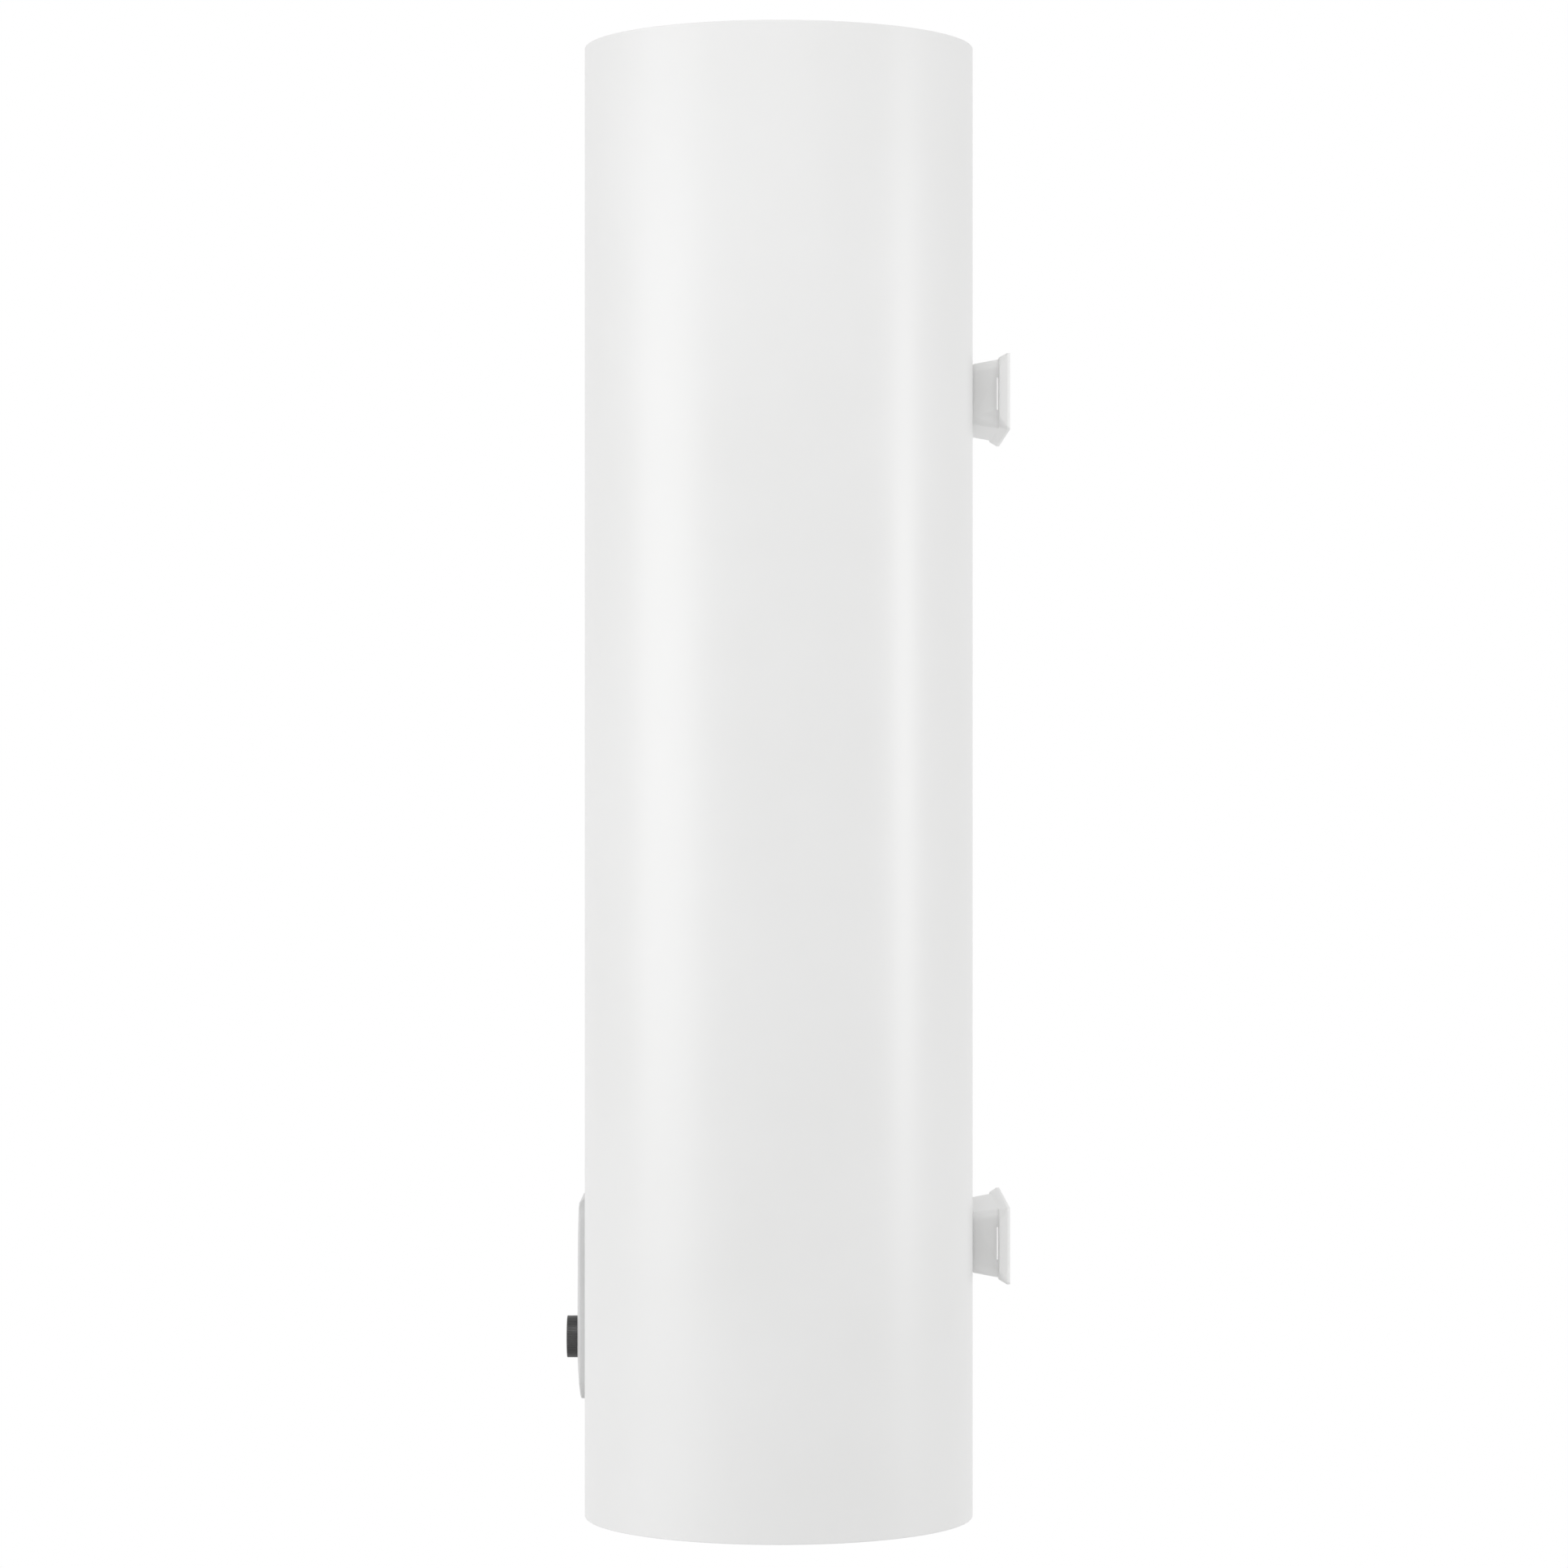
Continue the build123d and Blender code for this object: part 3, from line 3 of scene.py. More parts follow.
import bpy
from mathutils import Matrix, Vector


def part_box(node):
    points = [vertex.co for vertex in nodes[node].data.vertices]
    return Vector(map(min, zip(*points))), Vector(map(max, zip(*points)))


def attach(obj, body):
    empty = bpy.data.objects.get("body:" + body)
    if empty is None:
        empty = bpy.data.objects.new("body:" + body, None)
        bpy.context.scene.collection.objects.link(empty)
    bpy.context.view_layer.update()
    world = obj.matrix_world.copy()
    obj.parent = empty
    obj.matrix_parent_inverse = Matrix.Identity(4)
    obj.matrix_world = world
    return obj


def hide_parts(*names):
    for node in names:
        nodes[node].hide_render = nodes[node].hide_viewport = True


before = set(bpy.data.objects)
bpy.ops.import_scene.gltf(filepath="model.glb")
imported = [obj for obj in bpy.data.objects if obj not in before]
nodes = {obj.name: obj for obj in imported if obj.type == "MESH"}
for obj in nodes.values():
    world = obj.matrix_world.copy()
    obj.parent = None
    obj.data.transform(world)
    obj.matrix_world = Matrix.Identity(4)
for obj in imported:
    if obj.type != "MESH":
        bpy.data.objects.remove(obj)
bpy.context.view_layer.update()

# A flat wall-hung water heater. X runs to the right as seen from the front, Y into the wall
# and Z up; the front faces -Y. Lengths are in metres.

MM = 0.001

# Limits for telling faces, edges and corners apart by their place and direction
NEAR = 1e-6
MERGE = 1e-7
SQUARE_ON = 0.99
ALONG = 0.9
LEVEL = 0.01

# A round piece whose axis runs from the front to the wall
FACING_FRONT = (math.pi / 2, 0, 0)

# Casing
CASING_Y = -0.1623
CASING_LOW = -0.8105
CASING_HIGH = 0.2095
CASING_BACK = -0.0273
MID_HEIGHT = (CASING_LOW + CASING_HIGH) / 2

# Knob, its settings in degrees from straight up, and the window
KNOB_Z = -0.6990
KNOB_FACE = -0.3143
KNOB_BACK = -0.3050
KNOB_RADIUS = 0.0150
DISC_RADIUS = 12.2 * MM
DISC_THICKNESS = 1.2 * MM
LOW_SETTING = 135
SETTING_STEP = 27
SETTINGS = 11
WINDOW_Z = -0.6275
WINDOW_FACE = -0.3050

# Water connections
NIPPLE_X = 0.050
NIPPLE_HIGH = -0.7185
THREAD_HIGH = -0.8125
THREAD_LOW = -0.8305
PIPE_SIDES = 72

# Cable gland, from its top inside the casing down to its tip
GLAND_Y = -0.0743
GLAND_BORE = 4.2 * MM
GLAND_TOP = CASING_LOW + 11.0 * MM
GLAND_SEAT = CASING_LOW + 1.8 * MM
GLAND_HEX_LOW = CASING_LOW - 3.2 * MM
GLAND_NUT_TOP = GLAND_HEX_LOW - 0.4 * MM
GLAND_TIP = CASING_LOW - 14.0 * MM
GLAND_SIDES = 48

# Wall brackets
BRACKET_Z = (-0.026, -0.626)
BRACKET_SHEET = 2.0 * MM
BOLT_X = (-0.048, -0.016, 0.016, 0.048)
BOLT_SIDES = 32


# Modelling by hand


def deselect_all():
    if bpy.context.object is not None and bpy.context.object.mode != "OBJECT":
        bpy.ops.object.mode_set(mode="OBJECT")
    bpy.ops.object.select_all(action="DESELECT")


def hold(piece):
    """Makes a piece the only one that operators act on."""
    deselect_all()
    piece.select_set(True)
    bpy.context.view_layer.objects.active = piece


def settle(piece):
    """Puts a piece's place, turn and scale into its mesh."""
    hold(piece)
    bpy.ops.object.transform_apply(location=True, rotation=True, scale=True)
    return piece


def move_to(piece, place):
    piece.location = place
    return settle(piece)


def pick(piece, kind, test):
    """Selects the faces, edges or corners of a piece that pass a test, and stays in edit mode."""
    bpy.ops.object.mode_set(mode="EDIT")
    bpy.ops.mesh.select_mode(type=kind)
    bpy.ops.mesh.select_all(action="DESELECT")
    bpy.ops.object.mode_set(mode="OBJECT")
    mesh = piece.data
    if kind == "FACE":
        for face in mesh.polygons:
            face.select = test(face.center, face.normal)
    elif kind == "EDGE":
        for edge in mesh.edges:
            start, end = (mesh.vertices[index].co for index in edge.vertices)
            edge.select = test((start + end) / 2, (end - start).normalized())
    else:
        for corner in mesh.vertices:
            corner.select = test(corner.co)
    bpy.ops.object.mode_set(mode="EDIT")


def everything(place, way):
    return True


def runs_along_y(place, way):
    return abs(way.y) > ALONG


def runs_along_z(place, way):
    return abs(way.z) > ALONG


def between_ribs(across, up, ribs):
    """Whether a direction from the axis meets a groove, where ribs and grooves are equally wide."""
    return math.floor(math.atan2(up, across) / math.pi * ribs) % 2 == 0


def push_out(step):
    """Extrudes what is selected by a step."""
    bpy.ops.mesh.extrude_region_move(TRANSFORM_OT_translate={"value": step})


def scale_about(centre, factor):
    """Scales what is selected about an upright axis, and leaves its height alone."""
    bpy.ops.transform.resize(value=(factor, factor, 1), center_override=centre)


def draw_in(centre, factor, step=(0, 0, 0)):
    """Extrudes what is selected into a smaller copy of itself, which keeps rounded corners whole."""
    push_out(step)
    scale_about(centre, factor)


def round_edges(width, steps):
    bpy.ops.mesh.bevel(
        offset=width, offset_type="OFFSET", segments=steps, profile=0.5, affect="EDGES"
    )


def cut_grooves(piece, test, margin, depth):
    """Sinks each face that passes a test, inside a margin of its own."""
    pick(piece, "FACE", test)
    bpy.ops.mesh.inset(thickness=margin, depth=-depth, use_individual=True)


def block(size, place=(0, 0, 0)):
    """A box of a given size about a place."""
    deselect_all()
    bpy.ops.mesh.primitive_cube_add(size=1, location=place)
    bpy.context.object.scale = size
    return settle(bpy.context.object)


def hexagon(half_width, low, high):
    """An upright six-sided block on the Z axis, with flats towards the front and the wall."""
    deselect_all()
    bpy.ops.mesh.primitive_cylinder_add(
        vertices=6, radius=half_width / math.cos(math.pi / 6), depth=high - low,
        location=(0, 0, (low + high) / 2), rotation=(0, 0, math.pi / 6),
    )
    return settle(bpy.context.object)


def apply_modifiers(piece):
    hold(piece)
    for modifier in list(piece.modifiers):
        bpy.ops.object.modifier_apply(modifier=modifier.name)


def join(pieces):
    """Joins finished pieces into the first of them."""
    deselect_all()
    for piece in pieces:
        piece.select_set(True)
    bpy.context.view_layer.objects.active = pieces[0]
    bpy.ops.object.join()
    return pieces[0]


def twin_of(piece):
    """A copy of a piece with its own mesh."""
    hold(piece)
    bpy.ops.object.duplicate(linked=False)
    return bpy.context.object


def copies(piece, places):
    """Copies of a piece at the given places; the pattern itself is then removed."""
    made = [move_to(twin_of(piece), place) for place in places]
    bpy.data.objects.remove(piece)
    return made


def turned_copy(piece, angle):
    """A copy of a piece turned about the Y axis."""
    twin = twin_of(piece)
    twin.rotation_euler = (0, angle, 0)
    return settle(twin)


def finish_piece(piece, name, material, body, stands_for=(), angle=30):
    """Names, shades and paints a piece, and sets it on its body."""
    hold(piece)
    bpy.ops.object.shade_smooth_by_angle(angle=math.radians(angle))
    piece.name = name
    piece.data.name = name
    piece.data.materials.clear()
    piece.data.materials.append(material)
    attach(piece, body)
    if stands_for:
        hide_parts(*stands_for)


# Surface effects shared by the finishes


def new_group(name, inputs, outputs):
    tree = bpy.data.node_groups.new(name, "ShaderNodeTree")
    for socket, kind in inputs:
        tree.interface.new_socket(name=socket, in_out="INPUT", socket_type=kind)
    for socket, kind in outputs:
        tree.interface.new_socket(name=socket, in_out="OUTPUT", socket_type=kind)
    return tree, tree.nodes.new("NodeGroupInput"), tree.nodes.new("NodeGroupOutput")


def skin_group():
    """Fine grain and broad clouding of a moulded or painted skin."""
    tree, given, out = new_group(
        "skin",
        [("Grain Scale", "NodeSocketFloat"), ("Cloud Scale", "NodeSocketFloat")],
        [("Grain", "NodeSocketFloat"), ("Cloud", "NodeSocketFloat")],
    )
    place = tree.nodes.new("ShaderNodeTexCoord")
    grain = tree.nodes.new("ShaderNodeTexNoise")
    grain.inputs["Detail"].default_value = 2.0
    cloud = tree.nodes.new("ShaderNodeTexNoise")
    cloud.inputs["Detail"].default_value = 3.0
    cloud.inputs["Roughness"].default_value = 0.6
    link = tree.links.new
    link(place.outputs["Object"], grain.inputs["Vector"])
    link(place.outputs["Object"], cloud.inputs["Vector"])
    link(given.outputs["Grain Scale"], grain.inputs["Scale"])
    link(given.outputs["Cloud Scale"], cloud.inputs["Scale"])
    link(grain.outputs["Fac"], out.inputs["Grain"])
    link(cloud.outputs["Fac"], out.inputs["Cloud"])
    return tree


def drawn_group():
    """Fine lines left along a sheet or rod by rolling, drawing or brushing."""
    tree, given, out = new_group(
        "drawn lines",
        [("Stretch", "NodeSocketVector")],
        [("Lines", "NodeSocketFloat")],
    )
    place = tree.nodes.new("ShaderNodeTexCoord")
    stretch = tree.nodes.new("ShaderNodeVectorMath")
    stretch.operation = "MULTIPLY"
    lines = tree.nodes.new("ShaderNodeTexNoise")
    lines.inputs["Scale"].default_value = 1.0
    lines.inputs["Detail"].default_value = 4.0
    link = tree.links.new
    link(place.outputs["Object"], stretch.inputs[0])
    link(given.outputs["Stretch"], stretch.inputs[1])
    link(stretch.outputs["Vector"], lines.inputs["Vector"])
    link(lines.outputs["Fac"], out.inputs["Lines"])
    return tree


def turned_group():
    """Rings left by turning, round an axis along Y."""
    tree, given, out = new_group(
        "turned rings",
        [("Centre", "NodeSocketVector"), ("Fineness", "NodeSocketFloat")],
        [("Rings", "NodeSocketFloat")],
    )
    place = tree.nodes.new("ShaderNodeTexCoord")
    offset = tree.nodes.new("ShaderNodeVectorMath")
    offset.operation = "SUBTRACT"
    flat = tree.nodes.new("ShaderNodeVectorMath")
    flat.operation = "MULTIPLY"
    flat.inputs[1].default_value = (1.0, 0.0, 1.0)
    reach = tree.nodes.new("ShaderNodeVectorMath")
    reach.operation = "LENGTH"
    rings = tree.nodes.new("ShaderNodeTexNoise")
    rings.noise_dimensions = "1D"
    rings.inputs["Detail"].default_value = 3.0
    link = tree.links.new
    link(place.outputs["Object"], offset.inputs[0])
    link(given.outputs["Centre"], offset.inputs[1])
    link(offset.outputs["Vector"], flat.inputs[0])
    link(flat.outputs["Vector"], reach.inputs[0])
    link(reach.outputs["Value"], rings.inputs["W"])
    link(given.outputs["Fineness"], rings.inputs["Scale"])
    link(rings.outputs["Fac"], out.inputs["Rings"])
    return tree


SKIN = skin_group()
DRAWN = drawn_group()
TURNED = turned_group()


# Finishes

# The range in which nearly all values of a grain, a cloud or a line lie
PATTERN_LOW = 0.3
PATTERN_HIGH = 0.7


def add_group(tree, group, **values):
    node = tree.nodes.new("ShaderNodeGroup")
    node.node_tree = group
    for socket, value in values.items():
        node.inputs[socket.replace("_", " ")].default_value = value
    return node


def blend_colours(tree, factor, first, second):
    """A colour that runs from the first to the second as the factor rises through its range."""
    ramp = tree.nodes.new("ShaderNodeValToRGB")
    ramp.color_ramp.elements[0].position = PATTERN_LOW
    ramp.color_ramp.elements[0].color = (*first, 1.0)
    ramp.color_ramp.elements[1].position = PATTERN_HIGH
    ramp.color_ramp.elements[1].color = (*second, 1.0)
    tree.links.new(factor, ramp.inputs["Fac"])
    return ramp.outputs["Color"]


def spread(tree, factor, low, high):
    """A value that runs between two limits as the factor rises through its range."""
    node = tree.nodes.new("ShaderNodeMapRange")
    node.inputs["From Min"].default_value = PATTERN_LOW
    node.inputs["From Max"].default_value = PATTERN_HIGH
    node.inputs["To Min"].default_value = low
    node.inputs["To Max"].default_value = high
    tree.links.new(factor, node.inputs["Value"])
    return node.outputs["Result"]


def raise_surface(tree, shader, height, depth):
    bump = tree.nodes.new("ShaderNodeBump")
    bump.inputs["Strength"].default_value = 1.0
    bump.inputs["Distance"].default_value = depth
    tree.links.new(height, bump.inputs["Height"])
    tree.links.new(bump.outputs["Normal"], shader.inputs["Normal"])


def patterned(name, look, group, tone, relief, **values):
    """A finish whose colour and gloss follow one pattern of a group, and its relief another."""
    dark, light, rough, depth = look
    material = bpy.data.materials.new(name)
    material.use_nodes = True
    tree = material.node_tree
    shader = tree.nodes["Principled BSDF"]
    pattern = add_group(tree, group, **values)
    colour = blend_colours(tree, pattern.outputs[tone], dark, light)
    gloss = spread(tree, pattern.outputs[tone], *rough)
    tree.links.new(colour, shader.inputs["Base Color"])
    tree.links.new(gloss, shader.inputs["Roughness"])
    raise_surface(tree, shader, pattern.outputs[relief], depth)
    return material, shader


def skinned(name, dark, light, rough, grain, depth, cloud=9.0):
    """A painted or moulded finish: clouded colour and gloss over a fine grain."""
    look = (dark, light, rough, depth)
    material, _ = patterned(
        name, look, SKIN, "Cloud", "Grain", Grain_Scale=grain, Cloud_Scale=cloud
    )
    return material


def drawn_metal(name, dark, light, rough, stretch, depth):
    """Bare or plated metal with lines along one direction."""
    look = (dark, light, rough, depth)
    material, shader = patterned(name, look, DRAWN, "Lines", "Lines", Stretch=stretch)
    shader.inputs["Metallic"].default_value = 1.0
    return material


def turned_metal(name, dark, light, rough, centre, fineness, depth):
    """A metal disc finished on a lathe."""
    look = (dark, light, rough, depth)
    material, shader = patterned(
        name, look, TURNED, "Rings", "Rings", Centre=centre, Fineness=fineness
    )
    shader.inputs["Metallic"].default_value = 1.0
    return material


ENAMEL = skinned(
    "white enamel", dark=(0.775, 0.775, 0.77), light=(0.80, 0.80, 0.797),
    rough=(0.30, 0.36), grain=520.0, depth=6e-6, cloud=5.0,
)
BRACKET_ENAMEL = skinned(
    "bracket enamel", dark=(0.855, 0.855, 0.85), light=(0.88, 0.88, 0.876),
    rough=(0.34, 0.42), grain=420.0, depth=1e-5,
)
COVER_PLASTIC = skinned(
    "cover plastic", dark=(0.76, 0.76, 0.75), light=(0.79, 0.79, 0.782),
    rough=(0.42, 0.50), grain=2600.0, depth=1.2e-5,
)
FASCIA_PLASTIC = skinned(
    "fascia plastic", dark=(0.62, 0.62, 0.62), light=(0.65, 0.65, 0.65),
    rough=(0.36, 0.44), grain=3200.0, depth=8e-6,
)
HOUSING_PLASTIC = skinned(
    "housing plastic", dark=(0.66, 0.66, 0.65), light=(0.70, 0.70, 0.69),
    rough=(0.5, 0.6), grain=1800.0, depth=1e-5,
)
KNOB_PLASTIC = skinned(
    "knob plastic", dark=(0.058, 0.058, 0.059), light=(0.068, 0.068, 0.069),
    rough=(0.26, 0.34), grain=3000.0, depth=6e-6,
)
WINDOW_PLASTIC = skinned(
    "window plastic", dark=(0.006, 0.006, 0.007), light=(0.010, 0.010, 0.011),
    rough=(0.04, 0.07), grain=300.0, depth=1e-6,
)
LENS_PLASTIC = skinned(
    "lens plastic", dark=(0.72, 0.26, 0.08), light=(0.78, 0.34, 0.12),
    rough=(0.10, 0.16), grain=900.0, depth=2e-6,
)
BLUE_PLASTIC = skinned(
    "cold blue plastic", dark=(0.020, 0.120, 0.42), light=(0.028, 0.15, 0.50),
    rough=(0.34, 0.42), grain=2400.0, depth=8e-6,
)
RED_PLASTIC = skinned(
    "hot red plastic", dark=(0.46, 0.020, 0.020), light=(0.55, 0.030, 0.028),
    rough=(0.34, 0.42), grain=2400.0, depth=8e-6,
)
BLACK_PLASTIC = skinned(
    "black plastic", dark=(0.022, 0.022, 0.023), light=(0.032, 0.032, 0.033),
    rough=(0.42, 0.52), grain=2200.0, depth=1e-5,
)
TERMINAL_PLASTIC = skinned(
    "terminal plastic", dark=(0.62, 0.60, 0.53), light=(0.70, 0.68, 0.60),
    rough=(0.5, 0.6), grain=1800.0, depth=1e-5,
)
DIP_PLASTIC = skinned(
    "dip tube plastic", dark=(0.72, 0.72, 0.67), light=(0.78, 0.78, 0.73),
    rough=(0.4, 0.5), grain=1500.0, depth=8e-6,
)
SEAL_RUBBER = skinned(
    "seal rubber", dark=(0.030, 0.030, 0.030), light=(0.045, 0.045, 0.045),
    rough=(0.7, 0.82), grain=1600.0, depth=2e-5,
)
LEAD_SLEEVE = skinned(
    "lead sleeve", dark=(0.26, 0.26, 0.27), light=(0.32, 0.32, 0.33),
    rough=(0.45, 0.55), grain=1600.0, depth=1e-5,
)
BOARD_GREEN = skinned(
    "circuit board", dark=(0.020, 0.15, 0.05), light=(0.035, 0.22, 0.08),
    rough=(0.38, 0.48), grain=800.0, depth=8e-6, cloud=60.0,
)
FOAM = skinned(
    "insulating foam", dark=(0.70, 0.60, 0.34), light=(0.80, 0.71, 0.44),
    rough=(0.85, 0.95), grain=700.0, depth=3e-4, cloud=40.0,
)
CERAMIC = skinned(
    "insulator ceramic", dark=(0.74, 0.72, 0.66), light=(0.80, 0.78, 0.73),
    rough=(0.5, 0.6), grain=1800.0, depth=1e-5,
)
ZINC = drawn_metal(
    "zinc plated steel", dark=(0.50, 0.49, 0.46), light=(0.66, 0.65, 0.62),
    rough=(0.30, 0.44), stretch=(900.0, 900.0, 300.0), depth=4e-6,
)
STAINLESS = drawn_metal(
    "stainless steel", dark=(0.54, 0.54, 0.53), light=(0.66, 0.66, 0.65),
    rough=(0.24, 0.36), stretch=(40.0, 40.0, 1800.0), depth=4e-6,
)
ELEMENT_SHEATH = drawn_metal(
    "element sheath", dark=(0.42, 0.29, 0.20), light=(0.54, 0.40, 0.30),
    rough=(0.34, 0.48), stretch=(500.0, 500.0, 20.0), depth=4e-6,
)
MAGNESIUM = drawn_metal(
    "magnesium rod", dark=(0.48, 0.48, 0.48), light=(0.60, 0.60, 0.60),
    rough=(0.5, 0.62), stretch=(700.0, 700.0, 60.0), depth=8e-6,
)
KNOB_METAL = turned_metal(
    "knob face metal", dark=(0.16, 0.16, 0.17), light=(0.26, 0.26, 0.275),
    rough=(0.28, 0.40), centre=(0.0, 0.0, KNOB_Z), fineness=9000.0, depth=5e-6,
)
UNLIT_SEGMENT = skinned(
    "unlit segment", dark=(0.020, 0.020, 0.021), light=(0.026, 0.026, 0.027),
    rough=(0.10, 0.16), grain=300.0, depth=1e-6,
)
MARK_PRINT = skinned(
    "printed marks", dark=(0.10, 0.10, 0.11), light=(0.12, 0.12, 0.13),
    rough=(0.45, 0.55), grain=2500.0, depth=4e-6,
)
POINTER_PRINT = skinned(
    "pointer print", dark=(0.78, 0.78, 0.77), light=(0.82, 0.82, 0.81),
    rough=(0.45, 0.55), grain=2500.0, depth=4e-6,
)

NODE_FINISHES = {
    ENAMEL: ["outer_casing"],
    COVER_PLASTIC: ["top_cover", "bottom_cover"],
    BRACKET_ENAMEL: ["upper_bracket", "lower_bracket"],
    FASCIA_PLASTIC: ["control_fascia"],
    HOUSING_PLASTIC: ["panel_housing"],
    KNOB_PLASTIC: ["knob_grip"],
    KNOB_METAL: ["knob_cap"],
    WINDOW_PLASTIC: ["display_window"],
    LENS_PLASTIC: ["indicator_lenses"],
    BLUE_PLASTIC: ["cold_collar"],
    RED_PLASTIC: ["hot_collar", "reset_button"],
    BLACK_PLASTIC: [
        "cable_gland", "gland_locknut", "safety_cutout", "board_components", "display_module",
        "potentiometer",
    ],
    TERMINAL_PLASTIC: ["terminal_block", "board_posts"],
    DIP_PLASTIC: ["cold_diffuser", "hot_dip_tube"],
    SEAL_RUBBER: ["left_flange_gasket", "right_flange_gasket", "panel_gasket"],
    LEAD_SLEEVE: ["wiring_leads", "panel_lead"],
    BOARD_GREEN: ["power_board", "display_board"],
    FOAM: ["insulation_foam"],
    CERAMIC: ["terminal_insulators"],
    ZINC: [
        "cover_screws", "flange_bolts", "anode_nuts", "bracket_bolts", "bracket_nuts",
        "housing_screws", "rail_spacers", "closing_plate", "upper_tank_rail", "lower_tank_rail",
        "left_heater_flange", "right_heater_flange", "knob_spindle",
    ],
    STAINLESS: [
        "left_tank", "right_tank", "lower_link_pipe", "upper_link_pipe", "cold_nipple",
        "hot_nipple", "left_thermowell", "right_thermowell", "temperature_probes",
    ],
    ELEMENT_SHEATH: ["left_heating_element", "right_heating_element"],
    MAGNESIUM: ["left_anode", "right_anode"],
}


def paint_nodes():
    for finish, names in NODE_FINISHES.items():
        for name in names:
            materials = nodes[name].data.materials
            materials.clear()
            materials.append(finish)


# Knob


def knob_blank(radius, back, sides, rim_round):
    """A round block on the knob's axis, its front rim rounded and its front face selected."""
    deselect_all()
    bpy.ops.mesh.primitive_cylinder_add(
        vertices=sides, radius=radius, depth=back - KNOB_FACE,
        location=(0, (KNOB_FACE + back) / 2, KNOB_Z), rotation=FACING_FRONT,
    )
    blank = settle(bpy.context.object)
    pick(blank, "EDGE", lambda place, way: abs(way.y) < LEVEL and place.y < KNOB_FACE + NEAR)
    round_edges(rim_round, 3)
    pick(blank, "FACE", lambda place, normal: normal.y < -SQUARE_ON)
    return blank


def turn_about_knob(degrees):
    """Turns what is selected about the knob's axis."""
    bpy.ops.transform.rotate(
        value=math.radians(degrees), orient_axis="Y", center_override=(0, KNOB_FACE, KNOB_Z)
    )


def ribbed_grip():
    """The knob's grip: a rounded rim, fine ribs round the side, a sunk face and a hollow back."""
    ribs = 80
    rim_round = 0.3 * MM
    seat_radius = 12.4 * MM
    wall = 2.0 * MM
    hollow_width = 7.0 * MM
    hollow_depth = 4.5 * MM
    rib_foot = KNOB_RADIUS - 0.5 * MM
    grip = knob_blank(KNOB_RADIUS, KNOB_BACK, 2 * ribs, rim_round)
    bpy.ops.mesh.inset(thickness=KNOB_RADIUS - rim_round - seat_radius)
    push_out((0, DISC_THICKNESS, 0))
    pick(
        grip, "FACE",
        lambda place, normal: normal.y > SQUARE_ON and place.y > KNOB_BACK - NEAR,
    )
    bpy.ops.mesh.inset(thickness=wall)
    push_out((0, -hollow_depth, 0))
    bpy.ops.mesh.inset(thickness=hollow_width)
    push_out((0, hollow_depth, 0))

    def in_groove(place, normal):
        up = place.z - KNOB_Z
        on_side = abs(normal.y) < LEVEL and math.hypot(place.x, up) > rib_foot
        return on_side and between_ribs(place.x, up, ribs)

    cut_grooves(grip, in_groove, margin=0.13 * MM, depth=0.36 * MM)
    finish_piece(grip, "ribbed_grip", KNOB_PLASTIC, "knob", ["knob_grip"])


def knob_disc():
    """The turned face disc with a flat border, a shallow dish and a rounded edge."""
    border = (1.2 * MM, 0.0)
    dish_edge = (1.0 * MM, 0.25 * MM)
    dish_ring = (2.4 * MM, 0.05 * MM)
    disc = knob_blank(DISC_RADIUS, KNOB_FACE + DISC_THICKNESS, sides=96, rim_round=0.35 * MM)
    for width, sink in (border, dish_edge, dish_ring, dish_ring, dish_ring):
        bpy.ops.mesh.inset(thickness=width, depth=-sink)
    finish_piece(disc, "knob_face_disc", KNOB_METAL, "knob", ["knob_cap"])


def knob_pointer():
    """A raised bar on the face disc; at rest it points down to the left, the lowest setting."""
    size = (1.4 * MM, 0.9 * MM, 5.6 * MM)
    sunk = 0.15 * MM
    from_axis = 8.6 * MM
    front = KNOB_FACE - 0.25 * MM
    bar = block(size, (0, KNOB_FACE + sunk, KNOB_Z + from_axis))
    pick(bar, "EDGE", runs_along_y)
    round_edges(0.65 * MM, 4)
    pick(bar, "EDGE", lambda place, way: place.y < front)
    round_edges(0.15 * MM, 2)
    pick(bar, "FACE", everything)
    turn_about_knob(LOW_SETTING)
    finish_piece(bar, "knob_pointer", POINTER_PRINT, "knob")


# Marks on the panel


def dial_marks():
    """Eleven printed ticks round the knob, from the lowest setting to the highest."""
    inner_radius = 18.6 * MM
    width = 0.7 * MM
    long_tick = 3.4 * MM
    short_tick = 2.2 * MM
    print_thickness = 0.06 * MM
    ticks = []
    for setting in range(SETTINGS):
        length = long_tick if setting % 5 == 0 else short_tick
        deselect_all()
        bpy.ops.mesh.primitive_plane_add(
            size=1, location=(0, KNOB_FACE, KNOB_Z + inner_radius + length / 2),
            rotation=FACING_FRONT,
        )
        tick = bpy.context.object
        tick.scale = (width, length, 1)
        settle(tick)
        bpy.ops.object.mode_set(mode="EDIT")
        bpy.ops.mesh.subdivide(number_cuts=3)
        turn_about_knob(LOW_SETTING - SETTING_STEP * setting)
        bpy.ops.object.mode_set(mode="OBJECT")
        ticks.append(tick)
    marks = join(ticks)
    wrap = marks.modifiers.new("lay on", "SHRINKWRAP")
    wrap.target = nodes["control_fascia"]
    wrap.wrap_method = "PROJECT"
    wrap.use_project_y = True
    wrap.use_positive_direction = True
    apply_modifiers(marks)
    pick(marks, "FACE", everything)
    push_out((0, -print_thickness, 0))
    finish_piece(marks, "dial_marks", MARK_PRINT, "heater")


